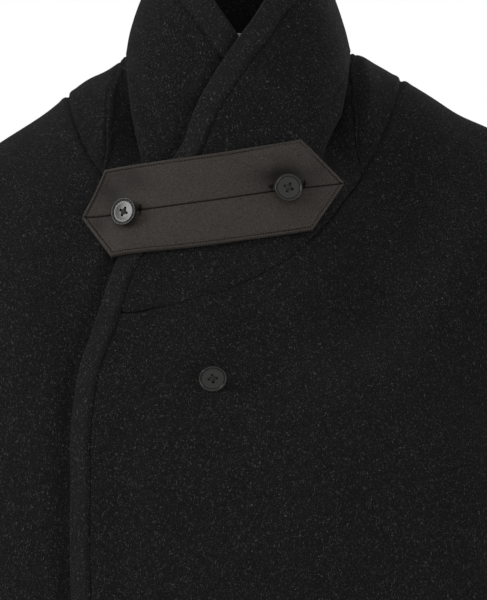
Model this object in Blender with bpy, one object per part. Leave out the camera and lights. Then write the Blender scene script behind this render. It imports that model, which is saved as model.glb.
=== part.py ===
"""Shawl collar coat, worn and hollow: every cut piece is one closed cloth wall, laid on one body form.

The frame is +X to the wearer's left, -Y to the front and +Z up, with the origin level with the neck
points of the shoulders. Sizes below are in millimetres and degrees. The mesh data is in metres.
"""
import math

import bpy
import numpy as np
from mathutils import Matrix
from mathutils import Vector

MM = 0.001

# Cloth walls
BODY_WALL = 2.5
COLLAR_WALL = 4.0
BAND_WALL = 6.0
TAB_WALL = 3.0
LABEL_WALL = 1.0
SEAM_GAP = 0.34
LAY_GAP = 0.4

# Edge band and the lap of the left front over the right one
BAND_WIDTH = 16.5
BAND_TOP_WIDTH = {"left": 19.8, "right": 21.2}
BAND_TOP_HEIGHTS = (-75.0, 10.0)  # where the band starts to widen and is at its widest
BAND_JOIN_HEIGHT = -130.0  # where the collar's length of it meets the front's, under the tab
LAP = 6.5
LAP_REACH = 30.0  # how far past the right band's seam the left front stays raised
LAP_FADE = 50.0
LAP_SIDE = (62.0, 84.0)  # turns between which the lap's rise ends toward the side
BAND_PROFILE_COLUMNS = ("share of width", "share of thickness")
BAND_PROFILE = ((0, 0.62), (0.06, 0.9), (0.3, 1.0), (0.7, 1.0), (0.92, 0.8), (1.0, 0.35))

# Seams that follow the form, as turns round the body from the centre front
SHOULDER_SEAM = 96.0
SIDE_SEAM = 90.0
ARMHOLE_FRONT = 38.0
ARMHOLE_BACK = 33.0

# Button
BUTTON_RADIUS = 11.0
BUTTON_WALL = 3.4
BUTTON_DISH = 1.3
BUTTON_RIM = 2.4
BUTTON_SIDES = 40
HOLE_RADIUS = 1.1
HOLE_REACH = 2.1
HOLE_SIDES = 12

# The body form, from the collar's top edge to the hem. Each ring has its half width, its depths
# to front and back, its heights at side, front and back, and its squareness, 2 for an ellipse.
RING_COLUMNS = ("half", "front", "back", "z_side", "z_front", "z_back", "square")
RINGS = (
    (63, 86, 72, 90, 74, 98, 2.2),  # collar top edge
    (79, 93, 80, 52, 34, 64, 2.3),
    (87, 98, 85, 29, -10, 40, 2.4),
    (91, 102, 86, 11, -55, 20, 2.6),  # collar at its fullest
    (92, 106, 87, 6, -92, 12, 2.6),  # neck seam
    (114, 112, 99, -2, -135, -6, 2.4),
    (135, 121, 109, -14, -184, -26, 2.3),  # shoulder seam's inner end
    (172, 134, 121, -34, -222, -62, 2.3),
    (207, 144, 128, -53, -250, -106, 2.3),
    (236, 151, 132, -71, -272, -152, 2.3),  # shoulder point
    (243, 158, 133, -146, -300, -204, 2.4),
    (242, 163, 132, -218, -330, -256, 2.4),
    (238, 165, 130, -285, -360, -306, 2.4),  # underarm
    (240, 163, 127, -360, -410, -370, 2.4),
    (247, 156, 126, -460, -480, -462, 2.4),
    (257, 152, 131, -640, -648, -640, 2.4),
    (263, 151, 136, -840, -843, -840, 2.4),
    (267, 152, 139, -1040, -1040, -1040, 2.4),  # hem
)
NECK, YOKE, POINT, UNDERARM, HEM = 4.0, 6.0, 9.0, 12.0, 17.0
COLLAR_DROP = 0.42  # rings from the collar's top edge down to its band seam

# The right shoulder hangs this much lower and its yoke lies this much wider, each with the rings
# where that starts, is full, starts to even out and has ended.
RIGHT_DROP = 21.0
DROP_RINGS = (4.0, 8.0, 9.0, 14.0)
RIGHT_SPREAD = 6.0
SPREAD_RINGS = (3.8, 4.8, 6.5, 9.0)

# The valley at each side of the neck, under the standing collar's roll: how far from the centre
# line the roll ends and the gusset's seam lies at each height, and the valley's depth there.
VALLEY_COLUMNS = ("z", "roll", "seam", "depth")
VALLEY = (
    (8, 91, 97, 0),
    (-14, 88, 98, 9),
    (-31, 86, 100, 15),
    (-48, 82, 101, 18),
    (-63, 77, 102, 18),
    (-80, 72, 103, 15),
    (-96, 68, 103, 9),
    (-122, 64, 103, 0),
)
VALLEY_PAST_SEAM = 6.0
VALLEY_SHARES = (-0.3, 0.3, 0.3, 1.2)  # where the valley starts, is deepest and ends

# The largest folds: where they lie round the body, how wide, from and to which ring they grow,
# and how far they stand out.
FOLD_COLUMNS = ("turn", "width", "start", "full", "rise")
FOLDS = (
    (-62, 13, 11.5, 15.5, 9),
    (-36, 11, 12.5, 16.0, -6),
    (33, 12, 12.0, 16.0, -7),
    (64, 14, 11.5, 15.0, 8),
    (118, 13, 11.0, 15.5, 9),
    (149, 12, 12.0, 16.5, -8),
    (-151, 13, 11.5, 16.0, -7),
    (-121, 12, 11.0, 15.0, 10),
)

# The left front's band seam from the collar down to the hem, and the seam under the shawl
# collar, as distances from the centre line at each height.
EDGE_COLUMNS = ("x", "z")
BAND_SEAM = (
    (52, 51),
    (38, 34),
    (22, 10),
    (7, -10),
    (-19, -46),
    (-35, -80),
    (-57, -123),
    (-77, -165),
    (-92, -207),
    (-102, -235),
    (-110, -262),
    (-115, -320),
    (-115, -404),
    (-111, -600),
    (-107, -1040),
)
YOKE_SEAM = ((103, -91), (82, -120), (51, -155), (10, -181), (-30, -196), (-65, -204), (-92, -207))
GUSSET_SEAM = ((96, -6), (99, -32), (101, -58), (103, -91))

# Grid lines: turns shared by the collar, the gusset and the fronts, and rings shared by the
# fronts and the back.
BACK_TURNS = (180, 168, 156, 144, 132, 120, 108, SHOULDER_SEAM)
GUSSET_STEPS = 7
GUSSET_ROWS = 4
GUSSET_TIP = 0.12  # how much of its last step the gusset's point stops short of the corner
SHOULDER_RINGS = (6.0, 6.6, 7.3, 8.1, POINT)
ARMHOLE_STEPS = 9
NECK_RINGS = (NECK, 4.7, 5.35)
SIDE_RINGS = (12.0, 12.6, 13.3, 14.0, 14.7, 15.4, 16.2, HEM)
COLLAR_ROWS = 9
COLLAR_TIP = 2.0  # how far short of the yoke seam the collar's point stops
CORNER_STEPS = 12  # steps along the collar's band seam from its upright part to the front edge
SIDE_COLUMNS = 10  # collar columns that stand upright, from the centre back to the side
LONGEST_TURN = 7.0

# Sleeve: the outer and inner points of each ring, its half depth and how far back it lies
SLEEVE_COLUMNS = ("outer_x", "outer_z", "inner_x", "inner_z", "half_depth", "y")
SLEEVE_RINGS = (
    (262, -86, 246, -292, 88, -4),
    (286, -116, 251, -304, 84, -5),
    (305, -160, 254, -323, 78, -6),
    (320, -218, 256, -350, 72, -7),
    (334, -298, 259, -392, 67, -9),
    (347, -392, 264, -448, 64, -13),
    (357, -482, 271, -517, 61, -19),
    (365, -568, 281, -586, 58, -26),
    (371, -650, 290, -656, 56, -34),  # cuff
)
SLEEVE_LOW_DROP = 0.4  # how much of the right shoulder's drop reaches the sleeve's inner side

# Tab across the lap: its six corners as seen from the front, pointed at both ends
TAB_CORNERS = {
    "left_top": (-104, -95),
    "left_point": (-124, -133),
    "left_low": (-100, -164),
    "right_top": (47, -70),
    "right_point": (82, -105),
    "right_low": (58, -143),
}
TAB_COLUMNS, TAB_ROWS = 22, 7
TAB_RISE_LEFT = 5.0
TAB_REST = 10.5
TAB_SETTLE = (-122.0, -84.0)  # where the tab's end comes down past the left front's edge

BUTTONS = {
    "tab_button_right": (-90, -130),
    "tab_button_left": (38, -108),
    "front_button": (-20, -261),
}
BUTTON_ROLL = {"tab_button_right": 8, "tab_button_left": 10, "front_button": -6}
LABEL_TURNS = (168, 180, 192)
LABEL_RINGS = (2.3, 3.4)
LABEL_ROWS = 4
LABEL_GAP = 0.7

LOOKS = {
    "melton": ((0.012, 0.0125, 0.013, 1), 0.95),
    "tab_cotton": ((0.045, 0.039, 0.035, 1), 0.8),
    "button": ((0.06, 0.058, 0.055, 1), 0.35),
    "label": ((0.75, 0.74, 0.71, 1), 0.8),
}

rings = np.array(RINGS, float)
folds = np.array(FOLDS, float)


def smooth(low, high, value):
    """0 up to low, 1 from high on, and a soft rise between them."""
    t = np.clip((value - low) / (high - low), 0, 1)
    return t * t * (3 - 2 * t)


def ramp(bounds, value):
    """0 up to the first bound, 1 between the middle ones and 0 past the last."""
    return smooth(bounds[0], bounds[1], value) * (1 - smooth(bounds[2], bounds[3], value))


def through(values, at):
    """A smooth curve through the rows of values, read at row numbers at."""
    i = np.clip(np.floor(at).astype(int), 0, len(values) - 2)
    t = np.asarray(at - i)[..., None]
    last = len(values) - 1
    before, low, high, after = (values[np.clip(i + k, 0, last)] for k in (-1, 0, 1, 2))
    rise_low, rise_high = (high - before) / 2, (after - low) / 2
    return (
        low * (2 * t**3 - 3 * t**2 + 1)
        + rise_low * (t**3 - 2 * t**2 + t)
        + high * (3 * t**2 - 2 * t**3)
        + rise_high * (t**3 - t**2)
    )


def form(turn, ring):
    """Points on the plain body form: rings that are rounded boxes in plan and dip to the front."""
    turn, ring = np.broadcast_arrays(np.radians(turn), np.asarray(ring, float))
    half, front, back, z_side, z_front, z_back, square = np.moveaxis(through(rings, ring), -1, 0)
    across, along = np.sin(turn), np.cos(turn)
    norm = (np.abs(across) ** square + np.abs(along) ** square) ** (1 / square)
    deep = np.where(along > 0, front, back)
    z_mid = np.where(along > 0, z_front, z_back)
    half = half + np.where(across < 0, RIGHT_SPREAD * ramp(SPREAD_RINGS, ring), 0)
    x = half * across / norm
    y = -deep * along / norm
    z = z_side + (z_mid - z_side) * along**2
    z = z - np.where(across < 0, RIGHT_DROP * ramp(DROP_RINGS, ring) * across**2, 0)
    return np.stack([x, y, z], axis=-1)


def form_normal(turn, ring):
    step = 0.05
    ring = np.clip(ring, step, HEM - step)
    by_turn = form(turn + step, ring) - form(turn - step, ring)
    normal = np.cross(form(turn, ring - step) - form(turn, ring + step), by_turn)
    normal = np.where((normal * form(turn, ring) * (1, 1, 0)).sum(-1, keepdims=True) < 0, -normal, normal)
    return normal / np.linalg.norm(normal, axis=-1, keepdims=True)


def fold_rise(turn, ring):
    """How far the folds stand out of the form."""
    total = 0.0
    for centre, width, start, full, rise in folds:
        away = (turn - centre + 180) % 360 - 180
        total = total + rise * np.exp(-((away / width) ** 2)) * smooth(start, full, ring)
    return total


def valley_rise(turn, ring):
    """The valley beside the neck: steep under the collar's roll and easy up to the gusset."""
    place = form(turn, ring)
    table = np.array(VALLEY, float)[::-1]
    roll, seam, depth = (np.interp(place[..., 2], table[:, 0], table[:, k]) for k in (1, 2, 3))
    share = (np.abs(place[..., 0]) - roll) / (seam + VALLEY_PAST_SEAM - roll)
    return -depth * ramp(VALLEY_SHARES, share) * (np.cos(np.radians(turn)) > 0)


def body(turn, ring, out=0.0):
    """Points on the body with its folds, moved out."""
    turn, ring = np.broadcast_arrays(np.asarray(turn, float), np.asarray(ring, float))
    rise = (fold_rise(turn, ring) + valley_rise(turn, ring) + out)[..., None]
    return form(turn, ring) + form_normal(turn, ring) * rise


def find(x, z):
    """The turn and ring of the front's point at x across and z up."""
    low, high = np.zeros(np.shape(x)), np.full(np.shape(x), HEM)
    for _ in range(40):
        ring = (low + high) / 2
        values = through(rings, ring)
        half = values[..., 0] + np.where(x < 0, RIGHT_SPREAD * ramp(SPREAD_RINGS, ring), 0)
        share = np.clip(x / half, -0.999, 0.999)
        square = values[..., 6]
        turn = np.degrees(np.arctan2(share, (1 - np.abs(share) ** square) ** (1 / square)))
        above = form(turn, ring)[..., 2] > z
        low, high = np.where(above, ring, low), np.where(above, high, ring)
    return turn, ring


def curve_of(table):
    points = np.array(table, float)
    return find(points[:, 0], points[:, 1])


seam_turn, seam_ring = curve_of(BAND_SEAM)
yoke_turn, yoke_ring = curve_of(YOKE_SEAM)
gusset_turn, gusset_ring = curve_of(GUSSET_SEAM)
END = BAND_SEAM.index(YOKE_SEAM[-1])
END_TURN, END_RING = seam_turn[END], seam_ring[END]


def even(points_at, points, at):
    """A smooth line through points, read at at; points_at rises or falls steadily."""
    order = np.argsort(points_at)
    place = np.interp(at, points_at[order], np.arange(len(order)))
    return through(np.asarray(points, float)[order][:, None], place)[..., 0]


def collar_top():
    """The turn and ring of the left collar's band seam at each of its columns, evenly spaced."""
    rows = np.arange(END + 1)
    fine = np.linspace(0, END, 40 * END + 1)
    line = np.stack([even(rows, part[rows], fine) for part in (seam_turn, seam_ring)], axis=-1)
    start = SIDE_COLUMNS - 1
    share = np.linspace(0, 1, CORNER_STEPS)[:-1]
    level = COLLAR_TURNS[start] + (line[0, 0] - COLLAR_TURNS[start]) * share
    drop = COLLAR_DROP + (line[0, 1] - COLLAR_DROP) * share**2
    line = np.concatenate([np.stack([level, drop], axis=-1), line])
    steps = np.linalg.norm(np.diff(form(*line.T), axis=0), axis=1)
    way = np.concatenate([[0], np.cumsum(steps)])
    stops = np.linspace(0, way[-1] - COLLAR_TIP, len(COLLAR_TURNS) - start)
    found = np.stack([np.interp(stops, way, line[:, k]) for k in (0, 1)], axis=-1)
    around = np.stack([COLLAR_TURNS[:start], np.full(start, COLLAR_DROP)], axis=-1)
    return np.concatenate([around, found])


def band_turn(ring):
    """The turn of the left front's band seam at each ring, below the yoke seam."""
    return even(seam_ring[END:], seam_turn[END:], ring)


def yoke_at(turn):
    """The ring of the seam under the shawl collar."""
    turns = np.concatenate([[180, 90, 66], yoke_turn])
    at = np.concatenate([[YOKE, YOKE, YOKE], yoke_ring])
    return even(turns, at, turn)


def collar_low(turn):
    """The ring where the collar ends: the neck seam, then the gusset's, then the yoke seam."""
    turns = np.concatenate([[180, 120, 90], gusset_turn])
    at = np.concatenate([[NECK, NECK, NECK + 0.02], gusset_ring])
    return np.where(turn >= gusset_turn[-1], even(turns, at, turn), yoke_at(turn))


def under_edge(z):
    """How far the right front reaches past the centre line under the left one."""
    points = np.array(BAND_SEAM, float)[::-1]
    lap = -np.interp(z, points[:, 1], points[:, 0])
    return lap + LAP_REACH


def lap_rise(turn, ring):
    """How far the left pieces stand off the form, to pass over the right ones."""
    place = form(turn, ring)
    beyond = place[..., 0] - under_edge(place[..., 2])
    return LAP * (1 - smooth(0, LAP_FADE, beyond)) * (1 - smooth(*LAP_SIDE, turn))


class Side:
    """The left pieces as they are, or the right ones as their mirror with no lap."""

    def __init__(self, name, mirror):
        self.name = name
        self.mirror = mirror
        self.flip = np.array([-1.0, 1, 1]) if mirror else np.ones(3)

    def turn(self, turn):
        return -np.asarray(turn, float) if self.mirror else np.asarray(turn, float)

    def points(self, turn, ring, out=0.0):
        rise = 0.0 if self.mirror else lap_rise(turn, ring)
        return body(self.turn(turn), ring, rise + out)

    def wall(self, turn, ring, wall):
        return tuple(self.points(turn, ring, sign * wall / 2) for sign in (-1, 1))


def inset(grid, amount):
    """The grid with its rim drawn in by amount, which leaves the seam's gap."""
    grid = grid.copy()
    for axis in (0, 1):
        moved = np.moveaxis(grid, axis, 0)
        for edge, inner in ((0, 1), (-1, -2)):
            way = moved[inner] - moved[edge]
            length = np.linalg.norm(way, axis=-1, keepdims=True)
            moved[edge] += way / np.maximum(length, 1e-6) * np.minimum(amount, length * 0.4)
    return grid


def material(look):
    found = bpy.data.materials.get(look)
    if found:
        return found
    colour, roughness = LOOKS[look]
    made = bpy.data.materials.new(look)
    made.use_nodes = True
    shader = made.node_tree.nodes["Principled BSDF"]
    shader.inputs["Base Color"].default_value = colour
    shader.inputs["Roughness"].default_value = roughness
    return made


def mesh_object(name, points, faces, look):
    mesh = bpy.data.meshes.new(name)
    mesh.from_pydata((np.asarray(points) * MM).tolist(), [], faces)
    mesh.update()
    corners = np.asarray(points)
    volume = 0.0
    for face in faces:
        for k in range(1, len(face) - 1):
            a, b, c = corners[face[0]], corners[face[k]], corners[face[k + 1]]
            volume += float(np.dot(a, np.cross(b, c)))
    if volume < 0:
        mesh.flip_normals()
    made = bpy.data.objects.new(name, mesh)
    bpy.context.scene.collection.objects.link(made)
    mesh.materials.append(material(look))
    for polygon in mesh.polygons:
        polygon.use_smooth = True
    return made


def sheet(name, low, high, look, closed=False):
    """One closed wall between two grids of points. closed joins the grid's last column to its first."""
    rows, columns = low.shape[:2]
    points = np.concatenate([low.reshape(-1, 3), high.reshape(-1, 3)])
    other = rows * columns
    across = columns if closed else columns - 1

    def at(i, j):
        return i * columns + j % columns

    faces = []
    for i in range(rows - 1):
        for j in range(across):
            a, b, c, d = at(i, j), at(i, j + 1), at(i + 1, j + 1), at(i + 1, j)
            faces.append((a, b, c, d))
            faces.append((d + other, c + other, b + other, a + other))
    for i, order in ((0, 1), (rows - 1, -1)):
        for j in range(across):
            a, b = at(i, j), at(i, j + 1)
            faces.append((b, a, a + other, b + other)[::order])
    if not closed:
        for j, order in ((0, -1), (columns - 1, 1)):
            for i in range(rows - 1):
                a, b = at(i, j), at(i + 1, j)
                faces.append((b, a, a + other, b + other)[::order])
    return mesh_object(name, points, faces, look)


def between(first, last, longest):
    """Evenly spaced turns from first to last, none further apart than longest."""
    steps = math.ceil(abs(first - last) / longest)
    return np.linspace(first, last, steps + 1)


GUSSET_TURNS = np.linspace(SHOULDER_SEAM, gusset_turn[-1], GUSSET_STEPS)
FRONT_TURNS = between(GUSSET_TURNS[-1], END_TURN, LONGEST_TURN)
COLLAR_TURNS = np.concatenate([BACK_TURNS, GUSSET_TURNS[1:], FRONT_TURNS[1:]])
YOKE_TURNS = np.concatenate([GUSSET_TURNS, FRONT_TURNS[1:]])
ARMHOLE_SHARES = (1 - np.cos(np.linspace(0, math.pi, ARMHOLE_STEPS + 1))) / 2
ARMHOLE_RINGS = POINT + (UNDERARM - POINT) * ARMHOLE_SHARES
FRONT_RINGS = np.concatenate([SHOULDER_RINGS, ARMHOLE_RINGS[1:], SIDE_RINGS[1:]])


def armhole_turn(ring, bend):
    """The turn of the armhole's oval edge at each ring, and of the side seam below it."""
    share = np.clip((ring - POINT) / (UNDERARM - POINT), 0, 1)
    straight = SHOULDER_SEAM + (SIDE_SEAM - SHOULDER_SEAM) * share
    return straight + bend * 2 * np.sqrt(share * (1 - share))


def collar(side):
    """The shawl collar's half: its own ring of cloth round the neck, down to the yoke seam."""
    share = np.linspace(0, 1, COLLAR_ROWS)[:, None, None]
    top = collar_top()
    low = np.stack([COLLAR_TURNS, collar_low(COLLAR_TURNS)], axis=-1)
    place = top + (low - top) * share
    walls = side.wall(place[..., 0], place[..., 1], COLLAR_WALL)
    sheet(f"collar_{side.name}", *(inset(w, SEAM_GAP) for w in walls), "melton")
    return top


def gusset(side):
    """The shoulder gusset: a wedge between the collar and the front, from the shoulder seam."""
    turns = np.array(GUSSET_TURNS, float)
    share = np.linspace(0, 1, GUSSET_ROWS)[:, None]
    top, low = collar_low(turns), yoke_at(turns)
    ring = top + (low - top) * share
    walls = side.wall(np.broadcast_to(turns, ring.shape), ring, BODY_WALL)
    for wall in walls:
        wall[:, -1] += (wall[:, -2] - wall[:, -1]) * GUSSET_TIP
    sheet(f"gusset_{side.name}", *(inset(w, SEAM_GAP / 2) for w in walls), "melton")


def front(side):
    """The front from the yoke seam to the hem, and from the band seam to the armhole and side."""
    share = (YOKE_TURNS - YOKE_TURNS[-1]) / (YOKE_TURNS[0] - YOKE_TURNS[-1])
    grow = (FRONT_RINGS - YOKE) / (HEM - YOKE)
    left_rings = END_RING + (HEM - END_RING) * grow
    left = band_turn(left_rings)
    left[0] = END_TURN
    right = armhole_turn(FRONT_RINGS, -ARMHOLE_FRONT)
    turn = left[:, None] + (right - left)[:, None] * share
    top = yoke_at(YOKE_TURNS)
    top[-1] = END_RING
    ring = top + (HEM - top) * grow[:, None]
    walls = side.wall(turn, ring, BODY_WALL)
    sheet(f"front_{side.name}", *(inset(w, SEAM_GAP / 2) for w in walls), "melton")
    return np.stack([turn[:, -1], ring[:, -1]], axis=-1)


def band(side, collar_edge, front_edge):
    """The band that finishes the free edge: as wide as BAND_WIDTH, rounded, from neck to hem. It is
    joined from a collar's length and a front's, and the tab covers the join."""
    line = np.concatenate([collar_edge, front_edge[1:]])
    turn, ring = line[:, 0], line[:, 1]
    step = 0.05
    place = side.points(turn, ring)
    along = np.gradient(place, axis=0)
    by_turn = (side.points(turn + step, ring) - side.points(turn - step, ring)) / (2 * step)
    by_ring = (side.points(turn, ring + step) - side.points(turn, ring - step)) / (2 * step)
    normal = np.cross(by_turn, by_ring)
    normal *= np.sign((normal * place * (1, 1, 0)).sum(-1))[:, None]
    away = np.cross(along, normal)
    away *= np.sign(away[0, 2]) / np.linalg.norm(away, axis=-1, keepdims=True)
    pair = np.stack([by_turn, by_ring], axis=-1)
    widen = smooth(*BAND_TOP_HEIGHTS, place[:, 2])[:, None]
    width = BAND_WIDTH + (BAND_TOP_WIDTH[side.name] - BAND_WIDTH) * widen
    move = (np.linalg.pinv(pair) @ (away * width)[..., None])[..., 0]
    start = SEAM_GAP / 2 / BAND_WIDTH
    low, high = [], []
    for share, part in BAND_PROFILE:
        reach = start + (1 - start) * share
        at_turn, at_ring = turn + move[:, 0] * reach, ring + move[:, 1] * reach
        at_ring = np.clip(at_ring, 0, HEM)
        low.append(side.points(at_turn, at_ring, -part * BAND_WALL / 2))
        high.append(side.points(at_turn, at_ring, part * BAND_WALL / 2))
    join = int(np.argmin(np.abs(place[: len(collar_edge), 2] - BAND_JOIN_HEIGHT)))
    for name, part in (("collar_band", slice(0, join + 1)), ("edge_band", slice(join, None))):
        grids = (np.stack(low)[:, part], np.stack(high)[:, part])
        for grid in grids:
            for edge, inner in ((0, 1), (-1, -2)):
                way = grid[:, inner] - grid[:, edge]
                grid[:, edge] += way / np.linalg.norm(way, axis=-1, keepdims=True) * SEAM_GAP / 2
        sheet(f"{name}_{side.name}", *grids, "melton")


def back():
    """The whole back from the neck seam to the hem, between the shoulder and side seams."""
    ring = np.concatenate([NECK_RINGS, FRONT_RINGS])
    half = armhole_turn(ring, ARMHOLE_BACK)
    first = (np.array(BACK_TURNS, float) - SHOULDER_SEAM) / (180 - SHOULDER_SEAM)
    share = np.concatenate([first[::-1], (2 - first)[1:]])
    turn = half[:, None] + (180 - half)[:, None] * share
    grid_ring = np.broadcast_to(ring[:, None], turn.shape).copy()
    grid_ring[0] = collar_low(np.minimum(turn[0], 360 - turn[0]))
    walls = tuple(body(turn, grid_ring, sign * BODY_WALL / 2) for sign in (-1, 1))
    sheet("back", *(inset(w, SEAM_GAP / 2) for w in walls), "melton")


def surface_normals(grid):
    """Normals of a tube's grid of points, rings down the first axis and closed along the second."""
    down = np.gradient(grid, axis=0)
    around = np.roll(grid, -1, axis=1) - np.roll(grid, 1, axis=1)
    normal = np.cross(down, around)
    return normal / np.linalg.norm(normal, axis=-1, keepdims=True)


def armhole(side):
    """The armhole's loop from the shoulder point, down the front and up the back: its points,
    the body's normals there and the ways out of the body's cloth."""
    down = ARMHOLE_RINGS
    front_way = np.stack([armhole_turn(down, -ARMHOLE_FRONT), down], axis=-1)
    back_way = np.stack([armhole_turn(down, ARMHOLE_BACK), down], axis=-1)[::-1]
    line = np.concatenate([front_way, back_way[1:-1]])
    turn, ring = side.turn(line[:, 0]), line[:, 1]
    place = body(turn, ring)
    normal = body(turn, ring, 1.0) - place
    along = np.roll(place, -1, axis=0) - np.roll(place, 1, axis=0)
    out = np.cross(along, normal)
    out /= np.linalg.norm(out, axis=-1, keepdims=True)
    out *= np.sign(out[0, 0]) * side.flip[0]
    return place, normal, out


def sleeve(side):
    """A tube from the armhole, round its point, down to the open cuff."""
    place, normal, out = armhole(side)
    gaps = np.linalg.norm(np.diff(place, axis=0, append=place[:1]), axis=1)
    bottom = len(ARMHOLE_RINGS) - 1
    way = np.concatenate([[0], np.cumsum(gaps)])
    angle = np.interp(way[:-1], way[[0, bottom, -1]], [0, math.pi, 2 * math.pi])[:, None]
    middle = [place]
    for number, (outer_x, outer_z, inner_x, inner_z, half_depth, y) in enumerate(SLEEVE_RINGS):
        even_out = 1 - smooth(0, len(SLEEVE_RINGS) - 1, number)
        drop = RIGHT_DROP * even_out if side.mirror else 0
        top = np.array([outer_x, y, outer_z - drop])
        low = np.array([inner_x, y, inner_z - drop * SLEEVE_LOW_DROP])
        spread = np.cos(angle) * (top - low) / 2 + np.sin(angle) * np.array([0, -half_depth, 0])
        middle.append(((top + low) / 2 + spread) * side.flip)
    middle = np.stack(middle)
    normals = surface_normals(middle)
    normals *= np.sign(normals[-1, 0, 0]) * side.flip[0]

    # At the armhole the wall turns over from the body's outside to the fold under the arm.
    first = normals[0]
    face = np.arctan2(-(first * out).sum(-1), (first * normal).sum(-1))[:, None]
    face = np.clip(face, 0, math.pi)
    normals[0] = normal * np.cos(face) - out * np.sin(face)
    half = BODY_WALL / 2
    clear = SEAM_GAP * (1 + np.cos(face)) / 2 + (half + SEAM_GAP) * np.sin(face)
    over = (2 * half + SEAM_GAP) * (1 - np.cos(face)) / 2
    middle[0] += out * clear + normal * over
    walls = (middle + normals * sign * half for sign in (-1, 1))
    sheet(f"sleeve_{side.name}", *walls, "melton", closed=True)


def tab_rest(x):
    """How far the tab's inner face stands off the form: down on the right side at its left end."""
    return TAB_RISE_LEFT + (TAB_REST - TAB_RISE_LEFT) * smooth(*TAB_SETTLE, x)


def tab_point(x, z, out):
    """A point on the tab, out from its inner face."""
    turn, ring = find(x, z)
    rise = tab_rest(x) + out
    return form(turn, ring) + form_normal(turn, ring) * np.asarray(rise)[..., None]


def tab():
    """The tab: a flat strip pointed at both ends, laid over the lap."""
    corner = {name: np.array(place, float) for name, place in TAB_CORNERS.items()}
    across = np.linspace(0, 1, TAB_ROWS)[:, None]
    ends = []
    for end in ("left", "right"):
        top, point, low = (corner[f"{end}_{part}"] for part in ("top", "point", "low"))
        upper = top + (point - top) * across * 2
        lower = point + (low - point) * (across * 2 - 1)
        ends.append(np.where(across <= 0.5, upper, lower))
    share = np.linspace(0, 1, TAB_COLUMNS)[None, :, None]
    flat = ends[0][:, None] * (1 - share) + ends[1][:, None] * share
    walls = tuple(tab_point(flat[..., 0], flat[..., 1], out) for out in (0, TAB_WALL))
    sheet("tab", *walls, "tab_cotton")


def turned(name, profile, look):
    """A solid of revolution about Z. The profile starts and ends on the axis."""
    sides = BUTTON_SIDES
    points, faces = [], []
    for radius, z in profile[1:-1]:
        for k in range(sides):
            angle = 2 * math.pi * k / sides
            points.append((radius * math.cos(angle), radius * math.sin(angle), z))
    low, high = len(points), len(points) + 1
    points.append((0, 0, profile[0][1]))
    points.append((0, 0, profile[-1][1]))
    rows = len(profile) - 2
    for i in range(rows - 1):
        for k in range(sides):
            following = (k + 1) % sides
            a, b = i * sides + k, i * sides + following
            faces.append((a, b, b + sides, a + sides))
    for k in range(sides):
        following = (k + 1) % sides
        faces.append((low, following, k))
        faces.append((high, (rows - 1) * sides + k, (rows - 1) * sides + following))
    return mesh_object(name, points, faces, look)


def seat(carrier, x, z):
    """The place and the way out for a button that lies on carrier(x, z) without cutting it."""
    angle = np.radians(np.arange(0, 360, 15))
    spots = carrier(x + BUTTON_RADIUS * np.cos(angle), z + BUTTON_RADIUS * np.sin(angle))
    middle = carrier(np.array([float(x)]), np.array([float(z)]))[0]
    quarter = len(angle) // 4
    normal = np.cross(spots[0] - spots[2 * quarter], spots[quarter] - spots[3 * quarter])
    normal *= -np.sign(normal[1]) / np.linalg.norm(normal)
    rest = max(0.0, float(((spots - middle) @ normal).max()))
    return middle + normal * (rest + LAY_GAP), normal


def holes(name):
    """The cutter for a button's four thread holes, as four straight rods."""
    sides = HOLE_SIDES
    points, faces = [], []
    for hole in range(4):
        way = math.pi / 4 + hole * math.pi / 2
        first = len(points)
        for height in (-1, BUTTON_WALL + 1):
            for k in range(sides):
                angle = 2 * math.pi * k / sides
                x = HOLE_REACH * math.cos(way) + HOLE_RADIUS * math.cos(angle)
                y = HOLE_REACH * math.sin(way) + HOLE_RADIUS * math.sin(angle)
                points.append((x, y, height))
        for k in range(sides):
            following = (k + 1) % sides
            faces.append((first + k, first + following, first + sides + following, first + sides + k))
        faces.append(tuple(first + k for k in range(sides))[::-1])
        faces.append(tuple(first + sides + k for k in range(sides)))
    return mesh_object(name, points, faces, "button")


def button(name, carrier):
    """A dished button with four holes, its back flat, lying on the cloth."""
    radius, wall = BUTTON_RADIUS, BUTTON_WALL
    inner = radius - BUTTON_RIM
    floor = wall - BUTTON_DISH
    back_face = ((0, 0), (radius - 1.2, 0), (radius - 0.3, 0.8), (radius, 1.7), (radius - 0.3, 2.7))
    rim = ((radius - 1.2, wall), (inner + 0.2, wall - 0.2))
    dish = ((inner - 0.7, floor + 0.2), (inner - 1.7, floor), (0, floor - 0.1))
    made = turned(name, back_face + rim + dish, "button")
    cutter = holes(f"{name}_holes")
    cutter.hide_render = True
    cutter.display_type = "WIRE"
    cut = made.modifiers.new("holes", "BOOLEAN")
    cut.operation = "DIFFERENCE"
    cut.solver = "EXACT"
    cut.object = cutter
    place, normal = seat(carrier, *BUTTONS[name])
    facing = Vector(normal).to_track_quat("Z", "Y").to_matrix().to_4x4()
    roll = Matrix.Rotation(math.radians(BUTTON_ROLL[name]), 4, "Z")
    for each in (made, cutter):
        each.matrix_world = Matrix.Translation(Vector(place) * MM) @ facing @ roll


def neck_label():
    """A plain label inside the collar at the centre back."""
    turn = np.array(LABEL_TURNS, float)[None, :]
    ring = np.linspace(*LABEL_RINGS, LABEL_ROWS)[:, None]
    inner = -COLLAR_WALL / 2 - LABEL_GAP
    sheet("neck_label", body(turn, ring, inner - LABEL_WALL), body(turn, ring, inner), "label")


def front_face(x, z):
    """The left front's outer face."""
    turn, ring = find(x, z)
    return body(turn, ring, lap_rise(turn, ring) + BODY_WALL / 2)


def tab_face(x, z):
    """The tab's outer face."""
    return tab_point(x, z, TAB_WALL)


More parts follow.
